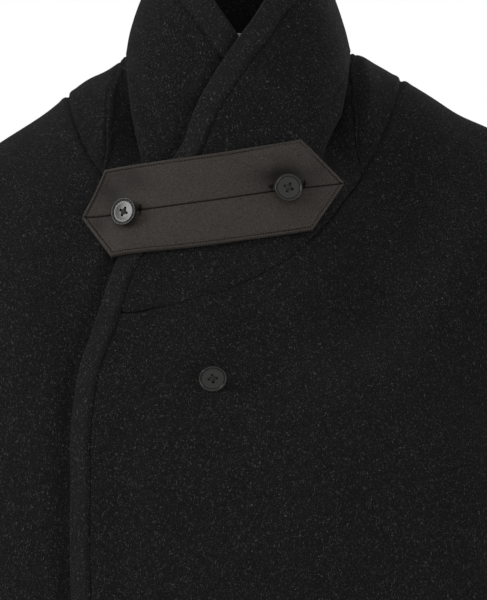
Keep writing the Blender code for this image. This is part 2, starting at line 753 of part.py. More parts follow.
def build():
    """Clears the scene and makes every piece of the coat."""
    for old in list(bpy.data.objects):
        bpy.data.objects.remove(old, do_unlink=True)
    for name, mirror in (("left", False), ("right", True)):
        side = Side(name, mirror)
        collar_edge = collar(side)
        gusset(side)
        front_edge = front(side)
        band(side, collar_edge, front_edge)
        sleeve(side)
    back()
    tab()
    neck_label()
    for name in BUTTONS:
        button(name, front_face if name == "front_button" else tab_face)


build()
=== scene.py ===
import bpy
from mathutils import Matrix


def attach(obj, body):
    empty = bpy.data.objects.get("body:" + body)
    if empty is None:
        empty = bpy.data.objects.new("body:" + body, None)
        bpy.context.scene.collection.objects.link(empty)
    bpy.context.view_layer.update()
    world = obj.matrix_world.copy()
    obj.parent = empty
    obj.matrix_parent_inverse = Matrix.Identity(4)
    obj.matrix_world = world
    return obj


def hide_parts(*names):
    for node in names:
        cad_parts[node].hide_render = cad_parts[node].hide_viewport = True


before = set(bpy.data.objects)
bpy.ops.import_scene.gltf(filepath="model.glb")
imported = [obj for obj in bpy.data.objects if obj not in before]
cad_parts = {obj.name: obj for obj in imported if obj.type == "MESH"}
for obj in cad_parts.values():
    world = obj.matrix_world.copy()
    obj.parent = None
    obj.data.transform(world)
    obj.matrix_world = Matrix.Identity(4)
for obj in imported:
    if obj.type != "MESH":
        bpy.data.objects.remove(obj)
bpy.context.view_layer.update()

import math

import bmesh
import bpy
import numpy as np
from bpy.props import FloatProperty
from bpy.props import FloatVectorProperty
from bpy.props import PointerProperty
from mathutils import Matrix
from mathutils import Vector

bl_info = {
    "name": "Shawl Collar Coat",
    "version": (1, 0, 0),
    "blender": (4, 5, 0),
    "location": "3D View > Sidebar > Coat",
    "description": "Cuts and hangs a dark wool coat with a lapped shawl collar and a buttoned tab",
    "category": "Object",
}

# Sizes are in millimetres and turns in degrees. Meshes are written in metres.
MM = 0.001

# Thicknesses of the pieces, and the gap left at a seam.
BODY_WALL = 2.5
COLLAR_WALL = 4.0
BAND_WALL = 6.0
TAB_WALL = 3.0
SEAM_GAP = 0.1

# Grids: how long a piece is along its rows or columns, and the step between its points there.
GRID = {
    "collar_rows": (120.0, 1.6),
    "gusset_rows": (50.0, 0.9),
    "gusset_columns": (90.0, 1.4),
    "front_columns": (330.0, 2.6),
    "back_rows": (170.0, 3.2),
    "back_columns": (480.0, 3.0),
    "label_rows": (17.0, 1.2),
    "label_columns": (38.0, 1.4),
}
# Distances from a cloth piece's edge at which its grid is closest.
CLOTH_RIMS = (0.0, 0.4, 0.9, 1.6, 2.6, 4.2)
# The front's rows as shares of the way down: at its seam, in two even stretches by first, last
# and number, and at the hem.
FRONT_SEAM_ROWS = (0, 0.0004, 0.001, 0.002, 0.0035)
FRONT_ROWS = ((0.005, 0.62, 170), (0.628, 0.995, 46))
FRONT_HEM_ROWS = (0.9975, 0.999, 1.0)
# The band's points along the collar's top, down the front and across its width.
BAND_TOP_POINTS = 330
BAND_FRONT_POINTS = 250
BAND_SECTION_POINTS = 25
# The sleeve's rows: how many to its second ring and from there on, and how far before the cuff
# the last ones lie.
SLEEVE_ROWS = (46, 120)
CUFF_ROWS = (0.02, 0.008, 0.0)

# The edge band: its width below and up on the collar and the heights between, how high it starts
# at its seam, the shares of its width that its step up and its rounded edge take, how far it falls
# toward its free edge and where, the underside's share of depth at the seam, and its thinnest.
BAND_WIDTH = 16.5
BAND_TOP_WIDTH = {"left": 19.8, "right": 21.2}
BAND_TOP_HEIGHTS = (-75.0, 10.0)
BAND_START = {"left": 1.5, "right": 0.6}
BAND_STEP = {"left": 0.2, "right": 0.3}
BAND_ROUND = 0.13
BAND_FALL = 1.0
BAND_FALL_SHARES = (0.25, 0.9)
BAND_UNDERSIDE = 0.55
BAND_EDGE_WALL = 0.04
# The share of the band's width over which its painted highlight, a paler colour, comes in.
BAND_HIGHLIGHT_SPAN = 0.12

# The lap: how far the left pieces stand off the form, how far past the right side's band seam
# they do so in full, how wide the fade beyond is, and the turns between which it has ended.
LAP = 6.5
LAP_REACH = 30.0
LAP_FADE = 50.0
LAP_SIDE = (62.0, 84.0)

# Turns of the shoulder and side seams.
SHOULDER_SEAM = 96.0
SIDE_SEAM = 90.0
# How many degrees the armhole bows to front and back, and how many points its line has down each.
ARMHOLE_FRONT = 38.0
ARMHOLE_BACK = 33.0
ARMHOLE_POINTS = 61

# The body form, from the collar's top edge to the hem: half width, depths to front and back,
# heights at side, front and back, and squareness.
RINGS = (
    (63, 86, 72, 90, 74, 98, 2.2), (79, 93, 80, 52, 34, 64, 2.3),
    (87, 98, 85, 29, -10, 40, 2.4), (91, 102, 86, 11, -55, 20, 2.6),
    (92, 106, 87, 6, -92, 12, 2.6), (114, 112, 99, -2, -135, -6, 2.4),
    (135, 121, 109, -14, -184, -26, 2.3), (172, 134, 121, -34, -222, -62, 2.3),
    (207, 144, 128, -53, -250, -106, 2.3), (236, 151, 132, -71, -272, -152, 2.3),
    (243, 158, 133, -146, -300, -204, 2.4), (242, 163, 132, -218, -330, -256, 2.4),
    (238, 165, 130, -285, -360, -306, 2.4), (240, 163, 127, -360, -410, -370, 2.4),
    (247, 156, 126, -460, -480, -462, 2.4), (257, 152, 131, -640, -648, -640, 2.4),
    (263, 151, 136, -840, -843, -840, 2.4), (267, 152, 139, -1040, -1040, -1040, 2.4),
)
# The rings of the neck seam, the yoke seam at the sides, the shoulder points, the underarms and
# the hem, and of the collar's band seam round the back.
NECK, YOKE, POINT, UNDERARM, HEM = 4.0, 6.0, 9.0, 12.0, 17.0
COLLAR_DROP = 0.42
# The back's even rows below the shoulder points, by first and last ring and number.
BACK_ROWS = ((POINT, 12.6, 90), (12.7, HEM, 60))
# The right side hangs lower and its neck stands wider: how far, and over which rings.
RIGHT_DROP = 21.0
DROP_RINGS = (4.0, 8.0, 9.0, 14.0)
RIGHT_SPREAD = 6.0
SPREAD_RINGS = (3.8, 4.8, 6.5, 9.0)
# How far before or behind the coat's middle plane a front or back detail has faded in.
FACE_DEPTH = 30.0

# The recess beside the neck, under the standing collar's roll: height, how far out the roll
# ends on the left and on the right, how far out the gusset's seam lies, and the recess's depth.
RECESS = (
    (8, 92, 92, 97, 0), (-8, 91, 91, 98, 8), (-27, 89, 89.5, 100, 15), (-45, 86, 87.5, 101, 19),
    (-59, 78.5, 85, 102, 20), (-71, 72.5, 82.5, 103, 18), (-83, 67.5, 79.5, 103, 14),
    (-98, 63, 75.5, 103, 8), (-122, 60, 70, 103, 0),
)
# How far past the gusset's seam it ends; the shares of the way out over which it deepens and
# shifts to the centre line, and how much; and the swelling of the roll: height, share, width.
PAST_SEAM = 6.0
RECESS_DEEPENS = (-0.3, 0.3, 0.3, 1.2)
RECESS_SHIFTS = (-0.12, 0.22, 0.3, 0.8)
RECESS_SHIFT = 0.42
RECESS_SWELL = (0.1, -0.45, 0.3)
# Where the shoulders sink a little: x, half width, drop, and the heights over which they do.
SHOULDER_SINKS = ((-112, 17, 7.6), (-160, 26, 3.4), (184, 24, 3.6), (101, 9, -3.0))
SINK_HEIGHTS = (-110.0, -50.0)
# The under cloth gives way beside the band's free edge: how far that edge lies from the band's
# seam, how far past it the trough runs, its width and depth.
FREE_EDGE = 19.0
TROUGH = (2.0, 7.0, 3.2)
# Small unevenness of the cloth: rise, size and seed of each layer of noise.
BODY_DRIFT = ((0.6, 46.0, 1), (0.25, 19.0, 2))
SLEEVE_DRIFT = ((0.7, 40.0, 3), (0.25, 17.0, 4))
BAND_WIDTH_DRIFT = ((0.5, 38.0, 5),)
BAND_DRIFT = ((0.35, 24.0, 6),)
TAB_DRIFT = ((0.16, 15.0, 8),)
LABEL_DRIFT = ((0.1, 9.0, 11),)

# Large folds of the skirt: turn, width, ring where they start, ring where they are full, rise.
FOLDS = (
    (-62, 13, 11.5, 15.5, 10), (-36, 11, 12.5, 16.0, -7), (33, 12, 12.0, 16.0, -8),
    (64, 14, 11.5, 15.0, 9), (118, 10, 11.0, 15.5, 12), (138, 9, 11.5, 16.0, -12),
    (157, 7, 10.5, 16.5, 7), (172, 7, 11.0, 16.0, -9), (-172, 8, 12.0, 16.5, 6),
    (-151, 9, 11.0, 16.0, -14), (-121, 10, 11.0, 15.0, 12),
)

# Soft troughs and ridges of the upper coat, each along a line seen from the front or the back:
# x and z of its two ends, its width, how far it stands out, and 1 for the front or -1 for the back.
CREASES = (
    (128, -95, 112, -205, 42, -18.0, 1), (206, -120, 198, -280, 70, -13.0, 1),
    (98, -112, 90, -165, 18, -3.0, 1), (112, -196, 50, -236, 32, -8.0, 1),
    (60, -250, 70, -380, 70, 3.0, 1), (-20, -205, -30, -240, 26, 4.0, 1),
    (198, -330, 190, -520, 56, 15.0, 1), (158, -320, 154, -600, 50, 11.0, 1),
    (84, -270, 60, -430, 40, 2.5, 1), (-70, -330, -40, -430, 34, -2.5, 1),
    (-150, -120, -165, -260, 26, 2.0, 1), (-134, -150, -128, -420, 20, -3.0, 1),
    (-90, -300, -86, -700, 18, -4.4, 1), (-196, -230, -202, -520, 44, 7.0, 1),
    (20, -62, 34, -128, 20, -1.8, 1), (66, -20, 58, -80, 18, 1.8, 1),
    (-66, -30, -60, -80, 16, 1.6, 1), (-34, -8, -48, -60, 14, -1.4, 1),
    (-10, -250, 110, -330, 26, -1.6, 1), (-90, -90, -140, -230, 40, -3.0, -1),
    (95, -95, 140, -240, 42, -3.2, -1), (0, -60, 6, -200, 34, 2.2, -1),
    (-120, -250, -60, -340, 26, -2.6, -1), (130, -260, 70, -345, 28, -2.4, -1),
)

# The seams seen from the front, x and z of points along them: the band's from the top of the
# collar to the hem, the yoke's and the gusset's.
BAND_SEAM = (
    (52, 51), (38, 34), (22, 10), (8, -10), (-15, -46), (-28.5, -80), (-57, -123), (-77, -165),
    (-92, -207), (-102, -235), (-110, -262), (-115, -320), (-115, -404), (-111, -600),
    (-107, -1040),
)
YOKE_SEAM = ((103, -91), (82, -120), (51, -155), (10, -181), (-30, -196), (-65, -204), (-92, -207))
GUSSET_SEAM = ((96, -6), (99, -32), (101, -58), (103, -91))
# A seam's groove: its width, and the roll past it as a share of its depth, distance and width.
SEAM_WIDTH = 1.7
SEAM_ROLL = (0.22, 5.0, 2.6)
# How much of the yoke seam's depth shows: least and how much more, the x over which it grows,
# the distances from the centre line over which the shoulder's share takes over, and that share.
YOKE_SHOW = (0.15, 0.7)
SEAM_FADE = (-50.0, 25.0)
SEAM_SHOULDER = (52.0, 76.0)
SHOULDER_SHOW = 2.0
# How much shows of the band's seam on the collar, and of the seam between collar and gusset,
# which stands up on the right.
BAND_SEAM_SHOW = {"left": 0.8, "right": 1.1}
GUSSET_SEAM_SHOW = {"left": 0.6, "right": -0.6}
CENTRE_SEAM_DEPTH = 0.4
GUSSET_EDGE_SHOW = 2.0
FRONT_EDGE_SHOW = 0.45
# Beside the gusset's collar seam: the stitching, whose rise is a share of the seams' depth, and
# the ridge, each by distance, width and rise, and how far from the shoulder seam they fade in.
GUSSET_STITCHING = (4.8, 1.3, -0.6)
GUSSET_RIDGE = (2.5, 1.5, 0.8)
GUSSET_FADE = (3.0, 9.0)
# The share of the way at which the gusset stops short of its point.
GUSSET_POINT = 0.02

# The collar's columns: turns round the back, steps across the gusset and the corner, the number
# of columns before the corner, the longest turn between columns, and how far the last one stops
# short of the seam's end.
BACK_TURNS = (180, 168, 156, 144, 132, 120, 108, SHOULDER_SEAM)
GUSSET_STEPS = 7
CORNER_STEPS = 12
SIDE_COLUMNS = 10
LONGEST_TURN = 7.0
COLLAR_TIP = 2.0
# Into how many each column is split round the back, across the gusset and beyond, and the finer
# splits at both ends.
COLLAR_SPLITS = (5, 14, 7)
COLLAR_EDGE = (0.0, 0.01, 0.03, 0.07, 0.12)

# Sleeve rings: outer and inner points, half depth and how far back each lies.
SLEEVE_RINGS = (
    (262, -86, 246, -292, 88, -4), (286, -116, 251, -304, 84, -5),
    (305, -160, 254, -323, 78, -6), (320, -218, 256, -350, 72, -7),
    (334, -298, 259, -392, 67, -9), (347, -392, 264, -448, 64, -13),
    (357, -482, 271, -517, 61, -19), (365, -568, 281, -586, 58, -26),
    (371, -650, 290, -656, 56, -34),
)
# The right sleeve's inner line hangs lower by that share of the outer line's drop.
SLEEVE_LOW_DROP = 0.4
# How far the sleeve's head tucks in where it leaves the body at a right angle.
HEAD_TUCK = 0.9
# From the armhole on: over how many rings the head goes straight out, over how many its wall
# turns away from the body's, and over what share of the way down the creases come in.
HEAD_STRAIGHT = 0.5
HEAD_TURNED = 0.12
HEAD_SMOOTH = 0.06
# Creases of a sleeve: share of the way down, angle from its top, length down, width round, rise.
SLEEVE_CREASES = (
    (0.20, 150, 0.06, 34, -6), (0.31, 200, 0.05, 40, -7), (0.40, 160, 0.045, 46, -8),
    (0.48, 205, 0.04, 50, -8), (0.56, 165, 0.04, 44, -7), (0.44, 240, 0.035, 30, -4),
    (0.52, 110, 0.035, 32, -4), (0.50, 20, 0.10, 40, 4), (0.70, 230, 0.05, 36, -5),
    (0.80, 130, 0.05, 34, -4), (0.88, 300, 0.05, 30, -3),
)

# The tab's corners seen from the front, x and z.
TAB_CORNERS = {
    "left_top": (-104, -95),
    "left_point": (-124, -133),
    "left_low": (-100, -165.2),
    "right_top": (47, -70),
    "right_point": (82, -106.2),
    "right_low": (58, -143),
}
# How far the tab's inner face stands off the form, at the end on the wearer's right and over the
# rest, and the x over which it settles.
TAB_RISE_END = 5.0
TAB_REST = 10.5
TAB_SETTLE = (-122.0, -84.0)
# The ends slant, so a distance along the tab to an end is that much shorter straight across.
TAB_END_SLANT = 0.78
TAB_DEPTH = 70.0
TAB_LENGTH = 205.0
# The steps of the tab's grid across and along it, and where it is closer: distances from its
# edge, and from its middle seam.
TAB_STEP_ACROSS = 0.85
TAB_STEP_ALONG = 1.6
TAB_RIMS = (0, 0.2, 0.5, 0.9, 1.5, 2.3, 3.1, 3.9)
TAB_SEAM_ROWS = (0.2, 0.45, 0.8, 1.3, 2.0)
# The share of the tab's depth to each side of that seam in which no other rows lie.
TAB_SEAM_CLEAR = 0.035
# The tab's inner face: how far out it lies, and the share of the outer face's relief that it
# follows, once that share is deeper than TAB_INNER_PAST.
TAB_INNER = 0.2
TAB_INNER_SHARE = 0.5
TAB_INNER_PAST = 0.4
# The tab's relief: radius of its rim, depth and width of the groove along the stitching, rise,
# distance and width of the crest outside it, depths and widths of the middle seam's grooves, and
# how far from the rim a hollow has its full depth.
RIM_ROUND = 1.5
STITCH_GROOVE = (0.5, 0.7)
RIM_CREST = (0.55, 1.3, 0.8)
TAB_SEAM_GROOVES = ((1.9, 0.5), (0.3, 2.0))
HOLLOW_RIM = 7.0
# How deep a hollow is for its painted shade to be full.
HOLLOW_FULL = 4.5
# Where the tab's middle seam runs below the line between its points: share of the length, drop.
TAB_SEAM_DROP = ((0, 0), (0.107, 1.6), (0.22, 0.5), (0.747, -2.1), (0.89, -1.4), (1, 0))
# Hollows and swellings of the tab: x, z, half width, half height and how far each stands out;
# hollows are also painted darker, as painted shade and shadow.
TAB_HOLLOWS = (
    (35, -99, 22, 9, -3.8), (48, -114, 30, 32, -1.7), (37, -80, 24, 7, 2.3),
    (26.2, -107.6, 1.8, 1.4, -2.6), (50.4, -106.0, 2.1, 1.6, -3.6),
    (-76.8, -126.2, 1.9, 1.5, -3.6), (52, -88, 4, 9, 0.7), (24, -90, 4, 9, 0.5),
    (-91, -122, 14, 8, -1.4), (-82, -103, 22, 10, -2.9), (-104, -120, 20, 26, -1.6),
    (-98, -111, 10, 8, -1.6), (-88.4, -132.2, 8.5, 8.5, -4.0), (-108, -138, 9, 7, -1.8),
    (-89, -106, 16, 5, 0.7), (-94, -138, 10, 3, 0.5), (-30, -109, 60, 13, -0.8),
    (-24, -132, 46, 9, 0.9), (66, -96, 9, 9, -0.5),
)

# The finishes' noises: scale, detail, roughness and distortion, and the values between which some
# come in.
NOISES = {
    "grain": (920.0, 1.5, 0.6, 0.0),
    "fine": (1700.0, 1.0, 0.5, 0.0),
    "mottle": (60.0, 3.0, 0.6, 0.0),
    "fleck": (800.0, 0.0, 0.5, 1.5),
    "fibre": (1.0, 0.0, 0.5, 0.0),
    "slub": (1150.0, 1.0, 0.5, 0.0),
    "shade": (60.0, 2.0, 0.5, 0.0),
    "cloud": (700.0, 3.0, 0.6, 0.0),
}
NOISE_SPANS = {
    "grain": (0.34, 0.90),
    "fleck": (0.74, 0.80),
    "fibre": (0.75, 0.85),
    "mottle": (0.3, 0.7),
    "slub": (0.28, 0.72),
}
# How much each layer adds of a finish's pale colour, and the power that keeps grain to its peaks.
LAYER_SHARES = {
    "grain": 0.5,
    "fleck": 1.55,
    # The edge bands' painted highlight: their colour is painted paler where they stand proud.
    "raised": 0.05,
    "fibre": 0.68,
    "mottle": 0.024,
    "fine": 0.052,
    "slub": 0.8,
    "weave": 0.12,
    "shade": 0.12,
}
GRAIN_POWER = 2.4
# The wool's stray fibres: the three ways in which they lie, in radians, and their scale across
# and along.
FIBRE_TURNS = ((0.2, 0.5, 0.0), (0.1, 1.5, 0.4), (-0.3, -0.6, 0.9))
FIBRE_SCALE = (1500.0, 1500.0, 330.0)
# The tab's twill and the way it runs, and the painted shade in the tab's hollows: colour, power,
# share.
TWILL = {"Scale": 420.0, "Distortion": 0.6, "Detail": 1.0}
TWILL_TURN = 63
PAINTED_SHADE_COLOUR = (0.004, 0.0036, 0.003)
PAINTED_SHADE_POWER = 1.5
PAINTED_SHADE_SHARE = 0.85
# How dark a plain finish's clouds are, and each finish's bump as strength and distance.
CLOUD_DARK = 0.82
BUMPS = {"melton": (0.5, 0.0008), "tab_cotton": (0.25, 0.0002), "plain": (0.04, 0.0001)}
# Finishes of one colour: how rough each is and how much it shines.
PLAIN_LOOKS = {
    "button": (0.27, 0.6),
    "thread": (0.6, 0.3),
    "tab_thread": (0.9, 0.05),
    "label": (0.8, 0.3),
}
# Threads: how far each rises between its ends, its radius, how many sides and rings it has, and
# its finish.
THREADS = {
    "stitch": (0.06, 0.48, 6, 6, "tab_thread"),
    "bar": (0.1, 0.22, 6, 9, "tab_thread"),
    "cross": (0.9, 0.6, 8, 9, "thread"),
    "shank": (0.0, 1.7, 14, 6, "thread"),
}
# How much of a thread's section is gone at its ends.
THREAD_TAPER = 0.86
# The tab's stitches: distance from its edge, length from one to the next, the share of it that
# shows, and how far they sink into the cloth.
STITCH_INSET = 2.7
STITCH_PITCH = 2.15
STITCH_SHARE = 0.42
STITCH_SINK = 0.3
# Bars of thread at the ends of the tab's buttonholes: x, z and length. Each is two threads side
# by side, that far to each side, which lean and sink a little.
BARS = ((-75.1, -127.5, 9.5), (26.4, -107.8, 6.0), (50.4, -105.8, 7.5))
BAR_SHIFT = 0.25
BAR_LEAN = 0.12
BAR_SINK = 0.25

# A button's thickness.
BUTTON_WALL = 3.4
# How each button leans on its thread: forward and sideways turns, roll, and its move.
BUTTON_LEAN = {
    "tab_button_right": (8, -14, 22, (1.9, -1.8, -0.8)),
    "tab_button_left": (0, 0, 22, (0.2, -0.3, -1.3)),
    "front_button": (44, 3, -36, (0.2, -5.6, 0.9)),
}
# Half section of a button from the middle of its back to the middle of its face: reach, height.
BUTTON_SECTION = (
    (0, 0.25), (5.0, 0.15), (8.0, 0.3), (9.6, 0.75), (10.5, 1.35), (10.9, 1.95), (11.0, 2.4),
    (10.98, 2.75), (10.93, 3.05), (10.8, 3.28), (10.6, 3.4), (10.35, 3.38), (10.1, 3.26),
    (9.85, 3.12), (9.6, 2.96), (9.4, 2.76), (9.26, 2.48), (9.14, 2.32), (9.0, 2.3), (8.86, 2.4),
    (8.74, 2.56), (8.6, 2.7), (8.42, 2.78), (8.15, 2.8), (7.5, 2.77), (6.2, 2.64), (4.6, 2.48),
    (2.4, 2.37), (0, 2.33),
)
# A button's points round, and the angle past which an edge of cloth or of horn is sharp.
BUTTON_COLUMNS = 128
CLOTH_SHARP = 65
HORN_SHARP = 62
# The drill for a button's holes: its sides and length.
DRILL_SIDES = 28
DRILL_LENGTH = 20.0
# A button's holes: distance from its middle and radius. Its threads: height above its back,
# places across a hole, and how far above and below its back the wound thread reaches.
HOLE_REACH = 3.1
HOLE_RADIUS = 1.15
THREAD_HEIGHT = 2.1
THREAD_PLACES = (-0.8, 0.0, 0.8)
SHANK_TOP = 0.5
SHANK = 1.2

# The label: its turns and rings, thickness, distance from the collar's inner face and sag, where
# its grid is close to its edge, how far it swells and over what rim, and the groove of its
# stitching as distance, width and depth.
LABEL_TURNS = (168, 192)
LABEL_RINGS = (2.3, 3.4)
LABEL_WALL = 0.6
LABEL_GAP = 0.7
LABEL_SAG = 0.8
LABEL_RIMS = (0, 0.3, 0.8, 1.4, 2.2)
LABEL_SWELL = (0.35, 0.8)
LABEL_GROOVE = (1.6, 0.5, 0.3)

# The stage, in metres: the way to the room's bright side and the span over which it brightens,
# the floor, and each light's place, size and spread, all turned to one place.
ROOM_BRIGHT_SIDE = (-0.22, -0.76, 0.61)
ROOM_SPAN = (-0.8, 0.9)
FLOOR_HALF = 6.0
FLOOR_HEIGHT = -1.46
LIGHTS = {
    "key": ((-3.0, -1.3, 0.8), 1.2, 120),
    "fill": ((2.6, -1.1, -0.85), 1.4, 180),
    "top": ((0.3, 0.9, 1.9), 1.0, 180),
    "back": ((2.1, 2.2, 0.8), 1.4, 180),
}
LIGHT_AIM = (0, -0.1, -0.1)
CAMERA_PLACE = (0.0044, -2.7, -0.196)
CAMERA_LENS = 195.0


def smooth(low, high, value):
    """0 up to low, 1 from high on, and 3t^2 - 2t^3 of the way t between them."""
    t = np.clip((value - low) / (high - low), 0, 1)
    return t * t * (3 - 2 * t)


def ramp(bounds, value):
    """A soft rise between the first two bounds, less a soft rise between the last two."""
    return smooth(bounds[0], bounds[1], value) * (1 - smooth(bounds[2], bounds[3], value))


def bell(away, width):
    """A Gaussian: 1 at no distance, and 1/e a width away."""
    return np.exp(-((away / width) ** 2))


def unit(ways):
    """The same directions with length 1."""
    return ways / np.maximum(np.linalg.norm(ways, axis=-1, keepdims=True), 1e-9)


def through(values, at):
    """A cubic through the rows of values, whose slope at a row is half the difference of its
    neighbours."""
    i = np.clip(np.floor(at).astype(int), 0, len(values) - 2)
    t = np.asarray(at - i)[..., None]
    last = len(values) - 1
    before, low, high, after = (values[np.clip(i + k, 0, last)] for k in (-1, 0, 1, 2))
    rise_low, rise_high = (high - before) / 2, (after - low) / 2
    return (
        low * (2 * t**3 - 3 * t**2 + 1)
        + rise_low * (t**3 - 2 * t**2 + t)
        + high * (3 * t**2 - 2 * t**3)
        + rise_high * (t**3 - t**2)
    )


rings = np.array(RINGS, float)
# The change of turn or ring over which slopes are measured.
STEP = 0.05


def form(turn, ring):
    """The body form: x and y on the ring |x/half|^n + |y/depth|^n = 1 at that turn, and a height
    that goes from the side's to the front's or back's by the squared cosine of the turn."""
    turn, ring = np.broadcast_arrays(np.radians(turn), np.asarray(ring, float))
    half, fore, aft, z_side, z_front, z_back, square = np.moveaxis(through(rings, ring), -1, 0)
    across, along = np.sin(turn), np.cos(turn)
    norm = (np.abs(across) ** square + np.abs(along) ** square) ** (1 / square)
    deep = np.where(along > 0, fore, aft)
    z_mid = np.where(along > 0, z_front, z_back)
    half = half + np.where(across < 0, RIGHT_SPREAD * ramp(SPREAD_RINGS, ring), 0)
    z = z_side + (z_mid - z_side) * along**2
    z = z - np.where(across < 0, RIGHT_DROP * ramp(DROP_RINGS, ring) * across**2, 0)
    return np.stack([half * across / norm, -deep * along / norm, z], axis=-1)


def slopes(points, turn, ring):
    """How points(turn, ring) moves for each degree of turn and for each ring."""
    by_turn = points(turn + STEP, ring) - points(turn - STEP, ring)
    by_ring = points(turn, ring + STEP) - points(turn, ring - STEP)
    return by_turn / (2 * STEP), by_ring / (2 * STEP)


def form_normal(turn, ring):
    """The form's outward normal: the cross product of its slopes along ring and turn."""
    ring = np.clip(ring, STEP, HEM - STEP)
    by_turn, by_ring = slopes(form, turn, ring)
    normal = np.cross(by_turn, by_ring)
    inward = (normal * form(turn, ring) * (1, 1, 0)).sum(-1, keepdims=True) < 0
    return unit(np.where(inward, -normal, normal))


def drift(points, size, seed):
    """Smooth noise from -1 to 1: random values on a cubic lattice of that size, blended by
    smoothstep in x, y and z."""
    at = points / size + seed * 17.31
    cell = np.floor(at).astype(np.int64)
    t = at - cell
    t = t * t * (3 - 2 * t)
    total = np.zeros(points.shape[:-1])
    for corner in np.ndindex(2, 2, 2):
        key = ((cell + corner) * (73856093, 19349663, 83492791)).sum(-1) & 0xFFFFFFFF
        key = ((key ^ (key >> 13)) * 1274126177) & 0xFFFFFFFF
        value = ((key ^ (key >> 16)) & 0xFFFF) / 32767.5 - 1
        total += value * np.prod(np.where(corner, t, 1 - t), axis=-1)
    return total


def uneven(points, layers):
    """The sum of each layer's rise times its noise."""
    return sum(rise * drift(points, size, seed) for rise, size, seed in layers)


def on_face(place, face=1):
    """1 on the coat's front, or on its back where face is -1, fading out to the sides."""
    return smooth(0, FACE_DEPTH, -face * place[..., 1])


def fold_rise(turn, ring):
    """How far the skirt's folds stand out: Gaussian ridges across the turn that grow down."""
    total = 0.0
    for centre, width, start, full, rise in FOLDS:
        away = (turn - centre + 180) % 360 - 180
        total = total + rise * bell(away, width) * smooth(start, full, ring)
    return total


def crease_rise(place):
    """Troughs and ridges along lines: rise times a Gaussian of the distance to each line."""
    total = uneven(place, BODY_DRIFT)
    for x0, z0, x1, z1, width, rise, face in CREASES:
        start, way = np.array([x0, z0]), np.array([x1 - x0, z1 - z0], float)
        seen = place[..., [0, 2]] - start
        share = np.clip(seen @ way / (way @ way), 0, 1)
        away = np.linalg.norm(seen - share[..., None] * way, axis=-1)
        total = total + rise * bell(away, width) * on_face(place, face)
    return total


def recess(place):
    """The recess beside the neck as a depth and a shift to the centre line, so that the collar's
    roll hangs over it: both are soft ramps of the share of the way from the roll to the seam."""
    table = np.array(RECESS, float)[::-1]
    left, right, seam, depth = (
        np.interp(place[..., 2], table[:, 0], column) for column in table[:, 1:].T
    )
    roll = np.where(place[..., 0] > 0, left, right)
    depth = depth * on_face(place)
    share = (np.abs(place[..., 0]) - roll) / (seam + PAST_SEAM - roll)
    down = -depth * ramp(RECESS_DEEPENS, share)
    shift = -RECESS_SHIFT * depth * ramp(RECESS_SHIFTS, share) * np.sign(place[..., 0])
    height, centre, width = RECESS_SWELL
    return down + height * depth * bell(share - centre, width), shift


def shoulder_sink(place):
    """How far the shoulders sink: Gaussians across, fading out down the coat."""
    total = 0.0
    for x, wide, drop in SHOULDER_SINKS:
        total = total + drop * bell(place[..., 0] - x, wide)
    return total * smooth(*SINK_HEIGHTS, place[..., 2])


def body(turn, ring, out=0.0):
    """Points of the cloth on the form, moved out."""
    turn, ring = np.broadcast_arrays(np.asarray(turn, float), np.asarray(ring, float))
    place = form(turn, ring)
    down, shift = recess(place)
    rise = fold_rise(turn, ring) + crease_rise(place) + down + out
    made = place + form_normal(turn, ring) * rise[..., None]
    made[..., 0] += shift
    made[..., 2] -= shoulder_sink(place)
    return made


def find(x, z):
    """The turn and ring of the form's front at x across and z up, by halving the ring's range."""
    low, high = np.zeros(np.shape(x)), np.full(np.shape(x), HEM)
    for _ in range(40):
        ring = (low + high) / 2
        values = through(rings, ring)
        half = values[..., 0] + np.where(x < 0, RIGHT_SPREAD * ramp(SPREAD_RINGS, ring), 0)
        share = np.clip(x / half, -0.999, 0.999)
        square = values[..., 6]
        turn = np.degrees(np.arctan2(share, (1 - np.abs(share) ** square) ** (1 / square)))
        above = form(turn, ring)[..., 2] > z
        low, high = np.where(above, ring, low), np.where(above, high, ring)
    return turn, ring


seam_turn, seam_ring = find(*np.transpose(BAND_SEAM).astype(float))
yoke_turn, yoke_ring = find(*np.transpose(YOKE_SEAM).astype(float))
gusset_turn, gusset_ring = find(*np.transpose(GUSSET_SEAM).astype(float))
# Where the yoke seam meets the band's.
END = BAND_SEAM.index(YOKE_SEAM[-1])
END_TURN, END_RING = seam_turn[END], seam_ring[END]


def even(points_at, points, at):
    """A smooth line through points, read at at; points_at rises or falls steadily."""
    order = np.argsort(points_at)
    place = np.interp(at, points_at[order], np.arange(len(order)))
    return through(np.asarray(points, float)[order][:, None], place)[..., 0]


def between(first, last, longest):
    """Even stops from first to last, no further apart than longest."""
    steps = math.ceil(abs(first - last) / longest)
    return np.linspace(first, last, steps + 1)


GUSSET_TURNS = np.linspace(SHOULDER_SEAM, gusset_turn[-1], GUSSET_STEPS)
FRONT_TURNS = between(GUSSET_TURNS[-1], END_TURN, LONGEST_TURN)
COLLAR_TURNS = np.concatenate([BACK_TURNS, GUSSET_TURNS[1:], FRONT_TURNS[1:]])


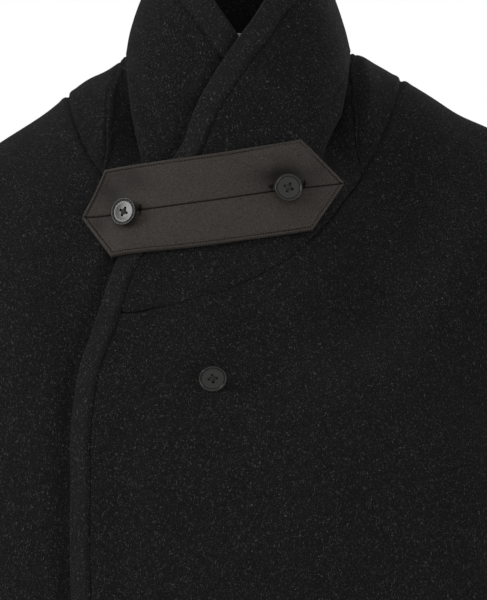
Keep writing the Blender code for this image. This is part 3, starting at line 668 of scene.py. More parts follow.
def collar_top(at):
    """The turn and ring of the collar's band seam at column numbers at: level round the back,
    then even steps along the seam."""
    rows = np.arange(END + 1)
    fine = np.linspace(0, END, 40 * END + 1)
    line = np.stack([even(rows, part[rows], fine) for part in (seam_turn, seam_ring)], axis=-1)
    start = SIDE_COLUMNS - 1
    share = np.linspace(0, 1, CORNER_STEPS)[:-1]
    level = COLLAR_TURNS[start] + (line[0, 0] - COLLAR_TURNS[start]) * share
    drop = COLLAR_DROP + (line[0, 1] - COLLAR_DROP) * share**2
    line = np.concatenate([np.stack([level, drop], axis=-1), line])
    steps = np.linalg.norm(np.diff(form(*line.T), axis=0), axis=1)
    way = np.concatenate([[0], np.cumsum(steps)])
    stops = (at - start) / (len(COLLAR_TURNS) - 1 - start) * (way[-1] - COLLAR_TIP)
    found = np.stack([np.interp(stops, way, line[:, k]) for k in (0, 1)], axis=-1)
    turn = np.interp(at, np.arange(len(COLLAR_TURNS)), COLLAR_TURNS)
    around = np.stack([turn, np.full(at.shape, COLLAR_DROP)], axis=-1)
    return np.where((at < start)[:, None], around, found)


def band_turn(ring):
    """The turn of the band's seam below the yoke, at that ring."""
    return even(seam_ring[END:], seam_turn[END:], ring)


def yoke_at(turn):
    """The ring of the yoke seam at that turn."""
    turns = np.concatenate([[180, 90, 66], yoke_turn])
    at = np.concatenate([[YOKE, YOKE, YOKE], yoke_ring])
    return even(turns, at, turn)


def collar_low(turn):
    """The ring where the collar ends: the neck seam, then the gusset's, then the yoke seam."""
    turns = np.concatenate([[180, 120, 90], gusset_turn])
    at = np.concatenate([[NECK, NECK, NECK + 0.02], gusset_ring])
    return np.where(turn >= gusset_turn[-1], even(turns, at, turn), yoke_at(turn))


def seam_across(place):
    """How far across the band's seam lies at the height of each point."""
    across, height = np.array(BAND_SEAM, float)[::-1].T
    return np.interp(place[..., 2], height, across)


def lap_rise(turn, ring):
    """How far the left pieces stand off the form: LAP over the lap, fading out beside it."""
    place = form(turn, ring)
    beyond = place[..., 0] - (LAP_REACH - seam_across(place))
    return LAP * (1 - smooth(0, LAP_FADE, beyond)) * (1 - smooth(*LAP_SIDE, turn))


def under_dip(turn, ring):
    """How far the right pieces give way beside the lapped band's free edge: a Gaussian trough,
    three times as wide toward the left, where the lap covers it."""
    place = form(turn, ring)
    past, wide, deep = TROUGH
    away = place[..., 0] - (seam_across(place) - FREE_EDGE - past)
    return -deep * bell(away, np.where(away < 0, wide, 3 * wide)) * on_face(place)


def armhole_turn(ring, bend):
    """The armhole's oval edge, straight from shoulder to side plus a half ellipse."""
    share = np.clip((ring - POINT) / (UNDERARM - POINT), 0, 1)
    straight = SHOULDER_SEAM + (SIDE_SEAM - SHOULDER_SEAM) * share
    return straight + bend * 2 * np.sqrt(share * (1 - share))


class Side:
    """The left pieces as they are, or the right ones as their mirror with no lap."""

    def __init__(self, name, mirror):
        self.name = name
        self.mirror = mirror
        self.flip = np.array([-1.0, 1, 1]) if mirror else np.ones(3)

    def turn(self, turn):
        """The form's turn for a turn counted on the left side."""
        return -np.asarray(turn, float) if self.mirror else np.asarray(turn, float)

    def points(self, turn, ring, out=0.0):
        """Points of this side's cloth, moved out, with the lap or the trough under it."""
        rise = under_dip(self.turn(turn), ring) if self.mirror else lap_rise(turn, ring)
        return body(self.turn(turn), ring, rise + out)


SIDES = (Side("left", False), Side("right", True))


def rimmed(length, step, rims=CLOTH_RIMS):
    """Shares of a length from 0 to 1, close together at both ends and step apart between."""
    near = np.array(rims) / length
    inner = np.linspace(near[-1], 1 - near[-1], max(2, int((length - 2 * rims[-1]) / step) + 1))
    return np.concatenate([near[:-1], inner, 1 - near[:-1][::-1]])


def normals_of(grid, like, closed=False):
    """The grid's unit normals by cross products of its slopes, facing the same way as like."""
    if closed:
        around = np.roll(grid, -1, axis=1) - np.roll(grid, 1, axis=1)
    else:
        around = np.gradient(grid, axis=1)
    normal = np.cross(np.gradient(grid, axis=0), around)
    normal *= np.sign((normal * like).sum())
    return unit(normal)


def rim_distances(grid):
    """How far each point is from the grid's first and last row and first and last column."""
    found = []
    for axis in (0, 1):
        steps = np.linalg.norm(np.diff(grid, axis=axis), axis=-1)
        pad = [(0, 0), (0, 0)]
        pad[axis] = (1, 0)
        way = np.pad(np.cumsum(steps, axis=axis), pad)
        total = np.take(way, [-1], axis=axis)
        found += [way, total - way]
    return found


def seam_dip(distances, depth):
    """A groove beside each seam and a faint roll past it, from the distances to the seams."""
    share, past, wide = SEAM_ROLL
    total = 0.0
    for away in distances:
        total = total - depth * bell(away, SEAM_WIDTH) + share * depth * bell(away - past, wide)
    return total


def seam_depth():
    """How deep the cloth dips at a seam, in millimetres."""
    return bpy.context.scene.coat_sizes.seam_depth / MM


def seam_show(place, shoulder):
    """How much of a seam shows: most of it on the left, little past the middle, and the share
    called shoulder far out on both sides."""
    least, more = YOKE_SHOW
    share = least + more * smooth(*SEAM_FADE, place[..., 0])
    return share + (shoulder - share) * smooth(*SEAM_SHOULDER, np.abs(place[..., 0]))


def inset(grid, keep):
    """The grid with its rim drawn in by half a seam's gap. keep names edges that stay where they
    are, by axis and end."""
    grid = grid.copy()
    for axis in (0, 1):
        moved = np.moveaxis(grid, axis, 0)
        for edge, inner in ((0, 1), (-1, -2)):
            if (axis, edge) in keep:
                continue
            way = moved[inner] - moved[edge]
            length = np.linalg.norm(way, axis=-1, keepdims=True)
            moved[edge] += way / np.maximum(length, 1e-6) * np.minimum(SEAM_GAP / 2, length * 0.4)
    return grid


def put(name, data):
    """A new object in the scene."""
    made = bpy.data.objects.new(name, data)
    bpy.context.scene.collection.objects.link(made)
    return made


def write_mesh(name, points, faces, uv=None):
    """A mesh object from points in millimetres and an array of four-sided faces, facing out."""
    points = np.asarray(points, float)
    a, b, c, d = (points[faces[:, k]] for k in range(4))
    if (np.cross(c - a, d - b) * (a + b + c + d)).sum() < 0:
        faces = faces[:, ::-1]
        uv = None if uv is None else uv[:, ::-1]
    mesh = bpy.data.meshes.new(name)
    mesh.vertices.add(len(points))
    mesh.vertices.foreach_set("co", (points * MM).astype(np.float32).ravel())
    mesh.loops.add(faces.size)
    mesh.loops.foreach_set("vertex_index", faces.astype(np.int32).ravel())
    mesh.polygons.add(len(faces))
    mesh.polygons.foreach_set("loop_start", np.arange(0, faces.size, 4, dtype=np.int32))
    mesh.polygons.foreach_set("use_smooth", np.ones(len(faces), bool))
    mesh.update(calc_edges=True)
    if uv is not None:
        layer = mesh.uv_layers.new(name="cut")
        layer.data.foreach_set("uv", uv.astype(np.float32).ravel())
    mesh.validate()
    mesh.set_sharp_from_angle(angle=math.radians(CLOTH_SHARP))
    return put(name, mesh)


def grid_faces(rows, columns, closed):
    """The four-sided faces of a grid, as point numbers, round to the first column if closed."""
    across = columns if closed else columns - 1
    i, j = np.meshgrid(np.arange(rows - 1), np.arange(across), indexing="ij")
    a, b = i * columns + j, i * columns + (j + 1) % columns
    return np.stack([a, b, b + columns, a + columns], axis=-1).reshape(-1, 4)


def shell(name, inner, outer, closed=False, uv=None):
    """One closed wall between two grids: both faces, and strips round the rim that join them.
    uv gives each grid point its place on the cut, in metres."""
    rows, columns = inner.shape[:2]
    points = np.concatenate([inner.reshape(-1, 3), outer.reshape(-1, 3)])
    other = rows * columns
    faces = grid_faces(rows, columns, closed)
    parts = [faces, faces[:, ::-1] + other]
    across = np.arange(columns if closed else columns - 1)
    following = (across + 1) % columns
    for base, way in ((0, 1), ((rows - 1) * columns, -1)):
        here, after = across + base, following + base
        strip = np.stack([after, here, here + other, after + other], -1)
        parts.append(strip[:, ::way])
    if not closed:
        down = np.arange(rows - 1) * columns
        for base, way in ((0, -1), (columns - 1, 1)):
            low, high = down + base, down + base + columns
            strip = np.stack([high, low, low + other, high + other], -1)
            parts.append(strip[:, ::way])
    faces = np.concatenate(parts)
    corners = None
    if uv is not None:
        flat = np.concatenate([uv.reshape(-1, 2)] * 2)
        corners = flat[faces]
    return write_mesh(name, points, faces, corners)


def flip_if_inside_out(made):
    """Turns the faces round if the closed mesh's signed volume is negative."""
    mesh = made.data
    count = len(mesh.vertices)
    co = np.empty(count * 3, np.float32)
    mesh.vertices.foreach_get("co", co)
    co = co.reshape(-1, 3).astype(float)
    mesh.calc_loop_triangles()
    tri = np.empty(len(mesh.loop_triangles) * 3, np.int32)
    mesh.loop_triangles.foreach_get("vertices", tri)
    a, b, c = co[tri.reshape(-1, 3)].transpose(1, 0, 2)
    if (a * np.cross(b, c)).sum() < 0:
        mesh.flip_normals()
    return made


def mark(made, name, values):
    """Keeps one value per point with the mesh, for its finish to read."""
    layer = made.data.attributes.new(name, "FLOAT", "POINT")
    layer.data.foreach_set("value", np.asarray(values, np.float32).ravel())


def cloth(node, middle, like, wall, dip, keep=()):
    """A wool piece as a closed wall on its middle surface, its outer face dipping at seams."""
    normal = normals_of(middle, like)
    outer = inset(middle + normal * (wall / 2 + dip)[..., None], keep)
    inner = inset(middle - normal * (wall / 2), keep)
    dress(flip_if_inside_out(shell(f"{node}_cloth", inner, outer)), node, "melton")


def dress(made, node, look):
    """Gives a piece its finish and its body, and hides the CAD node it stands for."""
    made.data.materials.clear()
    made.data.materials.append(look_of(look))
    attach(made, "root")
    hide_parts(node)


# Finishes


def nodes_for(name):
    """A new finish, its node tree and its shader."""
    made = bpy.data.materials.new(f"{name}_finish")
    made.use_nodes = True
    tree = made.node_tree
    shader = tree.nodes["Principled BSDF"]
    return made, tree, shader


def add(tree, kind, inputs=None, **settings):
    """A node of that kind, with its settings, and each input a value or another node's output."""
    node = tree.nodes.new(kind)
    for key, value in settings.items():
        setattr(node, key, value)
    for key, value in (inputs or {}).items():
        if isinstance(value, bpy.types.NodeSocket):
            tree.links.new(value, node.inputs[key])
        else:
            node.inputs[key].default_value = value
    return node


def math_node(tree, operation, *values, clamp=False):
    """The result of that operation on values or other nodes' outputs."""
    node = tree.nodes.new("ShaderNodeMath")
    node.operation = operation
    node.use_clamp = clamp
    for socket, value in zip(node.inputs, values):
        if isinstance(value, bpy.types.NodeSocket):
            tree.links.new(value, socket)
        else:
            socket.default_value = value
    return node.outputs[0]


def linear(tree, value, low, high):
    """0 up to low, 1 from high on, and an even rise between them."""
    span = {"Value": value, "From Min": low, "From Max": high}
    return add(tree, "ShaderNodeMapRange", span, clamp=True).outputs["Result"]


def noise(tree, place, name):
    """The fractal noise of that name, from 0 to 1 with its middle near 0.5."""
    inputs = dict(zip(("Scale", "Detail", "Roughness", "Distortion"), NOISES[name]))
    inputs["Vector"] = place
    return add(tree, "ShaderNodeTexNoise", inputs).outputs["Fac"]


def come_in(tree, value, name):
    """The noise of that name brought to 0 at one end of its span and to 1 at the other."""
    return linear(tree, value, *NOISE_SPANS[name])


def blend_colour(tree, share, first, second):
    """The first colour at share 0 and the second at share 1."""
    node = tree.nodes.new("ShaderNodeMix")
    node.data_type = "RGBA"
    tree.links.new(share, node.inputs["Factor"])
    for socket, value in ((node.inputs[6], first), (node.inputs[7], second)):
        if isinstance(value, bpy.types.NodeSocket):
            tree.links.new(value, socket)
        else:
            socket.default_value = (*value, 1)
    return node.outputs[2]


def layered(tree, layers):
    """The sum of every layer times its share, held between 0 and 1."""
    total = 0.0
    for value, name in layers:
        total = math_node(tree, "MULTIPLY_ADD", value, LAYER_SHARES[name], total)
    return math_node(tree, "ADD", total, 0.0, clamp=True)


def finish(tree, shader, colour, height, bump, **constants):
    """Joins a colour and a bump of that height to the shader, and sets its constants, whose names
    are the sockets' with _ for a space."""
    tree.links.new(colour, shader.inputs["Base Color"])
    inputs = dict(zip(("Strength", "Distance"), BUMPS[bump]), Height=height)
    rough = add(tree, "ShaderNodeBump", inputs)
    tree.links.new(rough.outputs["Normal"], shader.inputs["Normal"])
    for name, value in constants.items():
        shader.inputs[name.replace("_", " ")].default_value = value


def streaks(tree, place, turn):
    """Short stray fibres: noise stretched along one way and kept only at its peaks."""
    inputs = {"Vector": place, "Rotation": turn, "Scale": FIBRE_SCALE}
    stretched = add(tree, "ShaderNodeMapping", inputs).outputs["Vector"]
    return come_in(tree, noise(tree, stretched, "fibre"), "fibre")


def melton(colours):
    """Fulled wool: a dark ground with pale grain about a millimetre across, sparse pale flecks,
    stray fibres lying three ways and a faint mottle, and a nap that lifts at the edges."""
    made, tree, shader = nodes_for("melton")
    place = add(tree, "ShaderNodeTexCoord").outputs["Object"]
    grain, fine = noise(tree, place, "grain"), noise(tree, place, "fine")
    fleck, mottle = (come_in(tree, noise(tree, place, k), k) for k in ("fleck", "mottle"))
    # Painted highlight: the edge bands carry a value that turns their colour paler where they stand
    # proud.
    raised = add(tree, "ShaderNodeAttribute", attribute_name="raised").outputs["Fac"]
    peaks = math_node(tree, "POWER", come_in(tree, grain, "grain"), GRAIN_POWER)
    layers = [(peaks, "grain"), (fleck, "fleck"), (raised, "raised")]
    layers += [(streaks(tree, place, turn), "fibre") for turn in FIBRE_TURNS]
    share = layered(tree, [*layers, (mottle, "mottle"), (fine, "fine")])
    colour = blend_colour(tree, share, colours.melton_dark, colours.melton_pale)
    height = math_node(tree, "MULTIPLY_ADD", fine, 0.5, grain)
    nap = {"Sheen_Weight": 0.035, "Sheen_Roughness": 0.4, "Sheen_Tint": (1, 1, 1, 1)}
    dull = {"Roughness": 1.0, "Specular_IOR_Level": 0.04}
    finish(tree, shader, colour, height, "melton", **dull, **nap)
    return made


def tab_cotton(colours):
    """Close cotton twill, faint sheen: a fine diagonal weave on the cut, soft uneven tone, painted
    shade in hollows.
    """
    made, tree, shader = nodes_for("tab_cotton")
    cut = add(tree, "ShaderNodeUVMap", uv_map="cut").outputs["UV"]
    inputs = {"Vector": cut, "Rotation": (0, 0, math.radians(TWILL_TURN))}
    turned = add(tree, "ShaderNodeMapping", inputs).outputs["Vector"]
    weave = add(tree, "ShaderNodeTexWave", {"Vector": turned, **TWILL}).outputs["Fac"]
    place = add(tree, "ShaderNodeTexCoord").outputs["Object"]
    slub = come_in(tree, noise(tree, place, "slub"), "slub")
    shade = noise(tree, place, "shade")
    share = layered(tree, [(slub, "slub"), (weave, "weave"), (shade, "shade")])
    colour = blend_colour(tree, share, colours.tab_dark, colours.tab_pale)
    # Painted shade: the tab's colour goes toward near black the deeper a point lies in a hollow.
    hollow = add(tree, "ShaderNodeAttribute", attribute_name="hollow").outputs["Fac"]
    deep = math_node(tree, "POWER", hollow, PAINTED_SHADE_POWER)
    deep = math_node(tree, "MULTIPLY", deep, PAINTED_SHADE_SHARE)
    colour = blend_colour(tree, deep, colour, PAINTED_SHADE_COLOUR)
    sheen = {"Roughness": 0.62, "Specular_IOR_Level": 0.22, "Sheen_Weight": 0.06}
    finish(tree, shader, colour, weave, "tab_cotton", **sheen)
    return made


def plain(name, colour, roughness, specular):
    """One colour with a faint cloudiness, for horn, thread and tape."""
    made, tree, shader = nodes_for(name)
    place = add(tree, "ShaderNodeTexCoord").outputs["Object"]
    cloud = noise(tree, place, "cloud")
    dark = tuple(c * CLOUD_DARK for c in colour)
    colour = blend_colour(tree, cloud, dark, tuple(colour))
    shine = {"Roughness": roughness, "Specular_IOR_Level": specular}
    finish(tree, shader, colour, cloud, "plain", **shine)
    return made


def look_of(look):
    """The finish of that slot, made once."""
    found = bpy.data.materials.get(f"{look}_finish")
    colours = bpy.context.scene.coat_colours
    if found:
        return found
    if look in PLAIN_LOOKS:
        return plain(look, getattr(colours, look), *PLAIN_LOOKS[look])
    return {"melton": melton, "tab_cotton": tab_cotton}[look](colours)


# Pieces


def collar(side):
    """Each collar half: columns go round from the centre back, rows from the band seam down to
    the neck, gusset and yoke seams, straight in turn and ring, on the body's form."""
    last, shoulder = len(COLLAR_TURNS) - 1, len(BACK_TURNS) - 1
    point = shoulder + GUSSET_STEPS - 1
    edge = np.array(COLLAR_EDGE)
    at = [edge, last - edge]
    for first, end, each in zip((0, shoulder, point), (shoulder, point, last), COLLAR_SPLITS):
        at.append(np.arange(first, end, 1 / each))
    at = np.unique(np.clip(np.round(np.concatenate(at), 4), 0, last))
    top = collar_top(at)
    turn = np.interp(at, np.arange(last + 1), COLLAR_TURNS)
    low = np.stack([turn, collar_low(turn)], axis=-1)
    share = rimmed(*GRID["collar_rows"])[:, None, None]
    place = top + (low - top) * share
    middle = side.points(place[..., 0], place[..., 1])
    like = form_normal(side.turn(place[..., 0]), place[..., 1])
    rims = rim_distances(middle)
    depth, show = seam_depth(), GUSSET_SEAM_SHOW[side.name]
    dip = seam_dip(rims[:1], BAND_SEAM_SHOW[side.name] * depth)
    dip = dip + seam_dip(rims[1:2], depth * seam_show(middle, show))
    dip = dip + seam_dip(rims[2:], CENTRE_SEAM_DEPTH)
    cloth(f"collar_{side.name}", middle, like, COLLAR_WALL, dip, keep=((1, 0),))


def gusset(side):
    """The wedge at the shoulder: columns go from the shoulder seam almost to its point, rows from
    the collar's seam to the yoke's, with a second line of stitching beside the collar's."""
    last = gusset_turn[-1] + GUSSET_POINT * (SHOULDER_SEAM - gusset_turn[-1])
    turns = SHOULDER_SEAM + (last - SHOULDER_SEAM) * rimmed(*GRID["gusset_columns"])
    share = rimmed(*GRID["gusset_rows"])[:, None]
    top, low = collar_low(turns), yoke_at(turns)
    ring = top + (low - top) * share
    turn = np.broadcast_to(turns, ring.shape)
    middle = side.points(turn, ring)
    rims = rim_distances(middle)
    depth = seam_depth()
    dip = seam_dip(rims[:1], GUSSET_SEAM_SHOW[side.name] * depth)
    dip = dip + seam_dip(rims[1:3], GUSSET_EDGE_SHOW * depth)
    fade = smooth(*GUSSET_FADE, rims[1])
    for (past, wide, rise), scale in ((GUSSET_STITCHING, depth), (GUSSET_RIDGE, 1.0)):
        dip = dip + rise * scale * bell(rims[0] - past, wide) * fade
    like = form_normal(side.turn(turn), ring)
    cloth(f"gusset_{side.name}", middle, like, BODY_WALL, dip)


def front(side):
    """Each front: columns go from the band seam to the shoulder, armhole and side, rows from the
    yoke seam to the hem, straight in turn and ring, on the body's form."""
    share = 1 - rimmed(*GRID["front_columns"])[::-1]
    stretches = [np.linspace(*rows) for rows in FRONT_ROWS]
    grow = np.concatenate([FRONT_SEAM_ROWS, *stretches, FRONT_HEM_ROWS])
    left = band_turn(END_RING + (HEM - END_RING) * grow)
    left[0] = END_TURN
    right = armhole_turn(YOKE + (HEM - YOKE) * grow, -ARMHOLE_FRONT)
    turn = left[:, None] + (right - left)[:, None] * share
    top = yoke_at(END_TURN + (SHOULDER_SEAM - END_TURN) * share)
    top[0] = END_RING
    ring = top + (HEM - top) * grow[:, None]
    middle = side.points(turn, ring)
    rims = rim_distances(middle)
    depth = seam_depth()
    dip = seam_dip(rims[:1], depth * seam_show(middle, SHOULDER_SHOW))
    dip = dip + seam_dip(rims[2:3], FRONT_EDGE_SHOW * depth) + seam_dip(rims[3:], depth)
    like = form_normal(side.turn(turn), ring)
    cloth(f"front_{side.name}", middle, like, BODY_WALL, dip, keep=((1, -1),))


def edge_line():
    """The seam that the band is sewn to: the collar's top, then the front's edge to the hem."""
    at = np.linspace(0, len(COLLAR_TURNS) - 1, BAND_TOP_POINTS)
    rings_down = np.linspace(END_RING, HEM, BAND_FRONT_POINTS)[1:]
    down = np.stack([band_turn(rings_down), rings_down], axis=-1)
    return np.concatenate([collar_top(at), down])


def edge_band(side):
    """The band: a rounded section, BAND_WIDTH wide, carried along the free edge. Across its width
    it stands out by a soft step up from the seam, less a soft fall toward the free edge, times a
    quarter circle at that edge."""
    turn, ring = edge_line().T
    place = side.points(turn, ring)
    along = np.gradient(place, axis=0)
    by_turn, by_ring = slopes(side.points, turn, ring)
    normal = np.cross(by_turn, by_ring)
    normal *= np.sign((normal * place * (1, 1, 0)).sum(-1))[:, None]
    away = unit(np.cross(along, normal))
    away *= np.sign(away[0, 2])
    pair = np.stack([by_turn, by_ring], axis=-1)
    widen = smooth(*BAND_TOP_HEIGHTS, place[:, 2])
    width = BAND_WIDTH + (BAND_TOP_WIDTH[side.name] - BAND_WIDTH) * widen
    width = width + uneven(place, BAND_WIDTH_DRIFT)
    move = (np.linalg.pinv(pair) @ (away * width[:, None])[..., None])[..., 0]
    start = SEAM_GAP / 2 / BAND_WIDTH
    share = (1 - np.cos(np.linspace(0, math.pi, BAND_SECTION_POINTS)))[:, None] / 2
    reach = start + (1 - start) * share
    at_turn, at_ring = turn + move[:, 0] * reach, np.clip(ring + move[:, 1] * reach, 0, HEM)
    edge = np.sqrt(1 - np.clip((share - 1 + BAND_ROUND) / BAND_ROUND, 0, 1) ** 2)
    step_up = smooth(0, BAND_STEP[side.name], share)
    low = BAND_START[side.name]
    top = BAND_WALL / 2 + bpy.context.scene.coat_sizes.band_rise / MM
    top = top + uneven(side.points(at_turn, at_ring), BAND_DRIFT)
    fall = BAND_FALL * smooth(*BAND_FALL_SHARES, share)
    outer = (low + (top - low) * step_up - fall) * edge + BAND_EDGE_WALL / 2
    under = BAND_UNDERSIDE + (1 - BAND_UNDERSIDE) * step_up
    inner = -BAND_WALL / 2 * under * edge - BAND_EDGE_WALL / 2
    grids = [side.points(at_turn, at_ring, out) for out in (inner, outer)]
    for grid in grids:
        for end, inside in ((0, 1), (-1, -2)):
            grid[:, end] += unit(grid[:, inside] - grid[:, end]) * SEAM_GAP / 2
    made = flip_if_inside_out(shell(f"edge_band_{side.name}_cloth", *grids))
    # Painted highlight: the band's colour is made paler across its width, away from its seam, where
    # it stands proud.
    mark(made, "raised", np.tile(smooth(0, BAND_HIGHLIGHT_SPAN, share), (2, len(turn))))
    dress(made, f"edge_band_{side.name}", "melton")
    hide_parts(f"collar_band_{side.name}")


def back():
    """The back: columns go round between the shoulder and side seams, rows from neck to hem, even
    in turn and in the share of the way down, on the body's form."""
    stretches = [np.linspace(*rows) for rows in BACK_ROWS]
    ring = NECK + (POINT - NECK) * rimmed(*GRID["back_rows"])[:-1]
    ring = np.unique(np.round(np.concatenate([ring, *stretches]), 4))
    half = armhole_turn(ring, ARMHOLE_BACK)
    share = 2 * rimmed(*GRID["back_columns"])
    turn = half[:, None] + (180 - half)[:, None] * share
    top = collar_low(np.minimum(turn, 360 - turn))
    at = top + (ring[:, None] - NECK) * (HEM - top) / (HEM - NECK)
    middle = body(turn, at)
    rims = rim_distances(middle)
    dip = seam_dip([rims[0], *rims[2:]], seam_depth())
    cloth("back", middle, form_normal(turn, at), BODY_WALL, dip, keep=((1, 0), (1, -1)))


def armhole(side):
    """The armhole's loop, the body's normals there and the ways out of the body's cloth."""
    share = (1 - np.cos(np.linspace(0, math.pi, ARMHOLE_POINTS))) / 2
    down = POINT + (UNDERARM - POINT) * share
    front_way = np.stack([armhole_turn(down, -ARMHOLE_FRONT), down], axis=-1)
    back_way = np.stack([armhole_turn(down, ARMHOLE_BACK), down], axis=-1)[::-1]
    line = np.concatenate([front_way, back_way[1:-1]])
    turn, ring = side.turn(line[:, 0]), line[:, 1]
    place = body(turn, ring)
    normal = unit(np.cross(*slopes(body, turn, ring)))
    normal *= np.sign((normal * form_normal(turn, ring)).sum(-1))[:, None]
    along = np.roll(place, -1, axis=0) - np.roll(place, 1, axis=0)
    out = unit(np.cross(along, normal))
    out *= np.sign(out[0, 0]) * side.flip[0]
    return place, normal, out


def sleeve(side):
    """A tube from the armhole to the cuff: ellipses between each ring's outer and inner points,
    joined by a smooth curve down, with creases as Gaussian troughs. Its head starts just outside
    the armhole's cloth and lies over it the more, the more it folds back on the shoulder."""
    place, normal, out = armhole(side)
    gaps = np.linalg.norm(np.diff(place, axis=0, append=place[:1]), axis=1)
    way = np.concatenate([[0], np.cumsum(gaps)])
    known = way[[0, ARMHOLE_POINTS - 1, -1]]
    angle = np.interp(way[:-1], known, [0, math.pi, 2 * math.pi])[:, None]
    rows = [place]
    for number, (outer_x, outer_z, inner_x, inner_z, half_depth, y) in enumerate(SLEEVE_RINGS):
        even_out = 1 - smooth(0, len(SLEEVE_RINGS) - 1, number)
        drop = RIGHT_DROP * even_out if side.mirror else 0
        top = np.array([outer_x, y, outer_z - drop])
        low = np.array([inner_x, y, inner_z - drop * SLEEVE_LOW_DROP])
        spread = np.cos(angle) * (top - low) / 2 + np.sin(angle) * np.array([0, -half_depth, 0])
        rows.append(((top + low) / 2 + spread) * side.flip)
    rows = np.stack(rows)
    normals = normals_of(rows, side.flip * (1, 0, 0), True)
    first = normals[0] * np.sign(normals[-1, 0, 0]) * side.flip[0]
    face = np.arctan2(-(first * out).sum(-1), (first * normal).sum(-1))
    face = np.clip(face, 0, math.pi)[:, None]
    half = BODY_WALL / 2
    clear = SEAM_GAP * (1 + np.cos(face)) / 2 + (half + SEAM_GAP) * np.sin(face)
    over = (2 * half + SEAM_GAP) * (1 - np.cos(face)) / 2 - HEAD_TUCK * np.sin(face)
    rows[0] += out * clear + normal * over
    last = len(rows) - 1
    stop, *cuff = last - np.array(CUFF_ROWS)
    head, rest = SLEEVE_ROWS
    at = np.concatenate([np.linspace(0, 2, head), np.linspace(2, stop, rest)[1:], cuff])
    middle = through(rows.reshape(len(rows), -1), at).reshape(-1, *place.shape)
    hug = (1 - smooth(0, HEAD_STRAIGHT, at))[:, None, None]
    straight = rows[0] + (rows[1] - rows[0]) * np.clip(at, 0, 1)[:, None, None]
    middle = middle + (straight - middle) * hug
    normals = normals_of(middle, rows[0], True)
    normals *= np.sign(normals[-1, 0, 0]) * side.flip[0]
    turned = normal * np.cos(face) - out * np.sin(face)
    blend = (1 - smooth(0, HEAD_TURNED, at))[:, None, None]
    normals = unit(normals * (1 - blend) + turned * blend)
    share = (at / last)[:, None]
    degrees = np.degrees(angle[:, 0])[None, :]
    rise = uneven(middle, SLEEVE_DRIFT)
    for centre, around, long, wide, high in SLEEVE_CREASES:
        off = (degrees - around + 180) % 360 - 180
        rise = rise + high * bell(share - centre, long) * bell(off, wide)
    rise = rise * smooth(0, HEAD_SMOOTH, share)
    middle = middle + normals * rise[..., None]
    dip = seam_dip(rim_distances(middle)[:1], seam_depth())
    outer = middle + normals * (half + dip)[..., None]
    inner = middle - normals * half
    made = flip_if_inside_out(shell(f"sleeve_{side.name}_cloth", inner, outer, True))
    dress(made, f"sleeve_{side.name}", "melton")


def tab_plan(across, along):
    """Where the tab lies seen from the front: across 0 to 1 from its top edge to its low one, and
    along 0 to 1 from its left end to its right, the ends coming to points at the middle."""
    across, along = across[..., None], along[..., None]
    ends = []
    for end in ("left", "right"):
        top, point, low = (
            np.array(TAB_CORNERS[f"{end}_{part}"], float) for part in ("top", "point", "low")
        )
        upper = top + (point - top) * across * 2
        lower = point + (low - point) * (across * 2 - 1)
        ends.append(np.where(across <= 0.5, upper, lower))
    return ends[0] * (1 - along) + ends[1] * along


def tab_face(x, z, out):
    """A point on the tab at x and z, out from its inner face."""
    turn, ring = find(x, z)
    rise = TAB_RISE_END + (TAB_REST - TAB_RISE_END) * smooth(*TAB_SETTLE, x) + out
    return form(turn, ring) + form_normal(turn, ring) * rise[..., None]


def tab_relief(plan, rims, across):
    """The tab's outer face: a rolled rim outside its stitching, pressed in along the stitching
    and the middle seam, hollowed above and beside its buttons and swelling between them."""
    top, low, left, right = rims
    rim = np.minimum(np.minimum(top, low), np.minimum(left, right))
    relief = -RIM_ROUND * (1 - np.sqrt(1 - np.clip(1 - rim / RIM_ROUND, 0, 1) ** 2))
    deep, wide = STITCH_GROOVE
    relief = relief - deep * bell(rim - STITCH_INSET, wide)
    high, past, wide = RIM_CREST
    relief = relief + high * bell(rim - past, wide)
    for deep, wide in TAB_SEAM_GROOVES:
        relief = relief - deep * bell((across - 0.5) * (top + low), wide)
    for x, z, wide, high, rise in TAB_HOLLOWS:
        hollow = rise * bell(plan[..., 0] - x, wide) * bell(plan[..., 1] - z, high)
        relief = relief + hollow * smooth(0, HOLLOW_RIM, rim)
    return relief


def tab():
    """The tab as a grid: rows across its depth, columns along it, with its cut as its UV map."""
    rows = rimmed(TAB_DEPTH, TAB_STEP_ACROSS, TAB_RIMS)
    columns = rimmed(TAB_LENGTH, TAB_STEP_ALONG, TAB_RIMS)
    seam = np.array(TAB_SEAM_ROWS) / TAB_DEPTH
    clear = rows[np.abs(rows - 0.5) > TAB_SEAM_CLEAR]
    rows = np.concatenate([clear, 0.5 - seam, [0.5], 0.5 + seam])
    across, along = np.meshgrid(np.sort(rows), columns, indexing="ij")
    plan = tab_plan(across, along)
    flat = tab_face(plan[..., 0], plan[..., 1], 0)
    rims = rim_distances(flat)
    rims = [*rims[:2], *(rim * TAB_END_SLANT for rim in rims[2:])]
    drop = np.interp(along, *np.transpose(TAB_SEAM_DROP))
    plan = plan - np.stack([0 * drop, drop * (1 - np.abs(2 * across - 1))], axis=-1)
    relief = tab_relief(plan, rims, across) + uneven(flat, TAB_DRIFT)
    outer = tab_face(plan[..., 0], plan[..., 1], TAB_WALL + relief)
    follow = np.minimum(0, TAB_INNER_SHARE * relief + TAB_INNER_PAST)
    inner = tab_face(plan[..., 0], plan[..., 1], TAB_INNER + follow)
    made = flip_if_inside_out(shell("tab_cloth", inner, outer, uv=plan * MM))
    # How deep each point lies in a hollow, kept for the tab's finish to paint its shade.
    deep = np.clip(-relief / HOLLOW_FULL, 0, 1).ravel()
    mark(made, "hollow", np.concatenate([deep, deep]))
    dress(made, "tab", "tab_cotton")


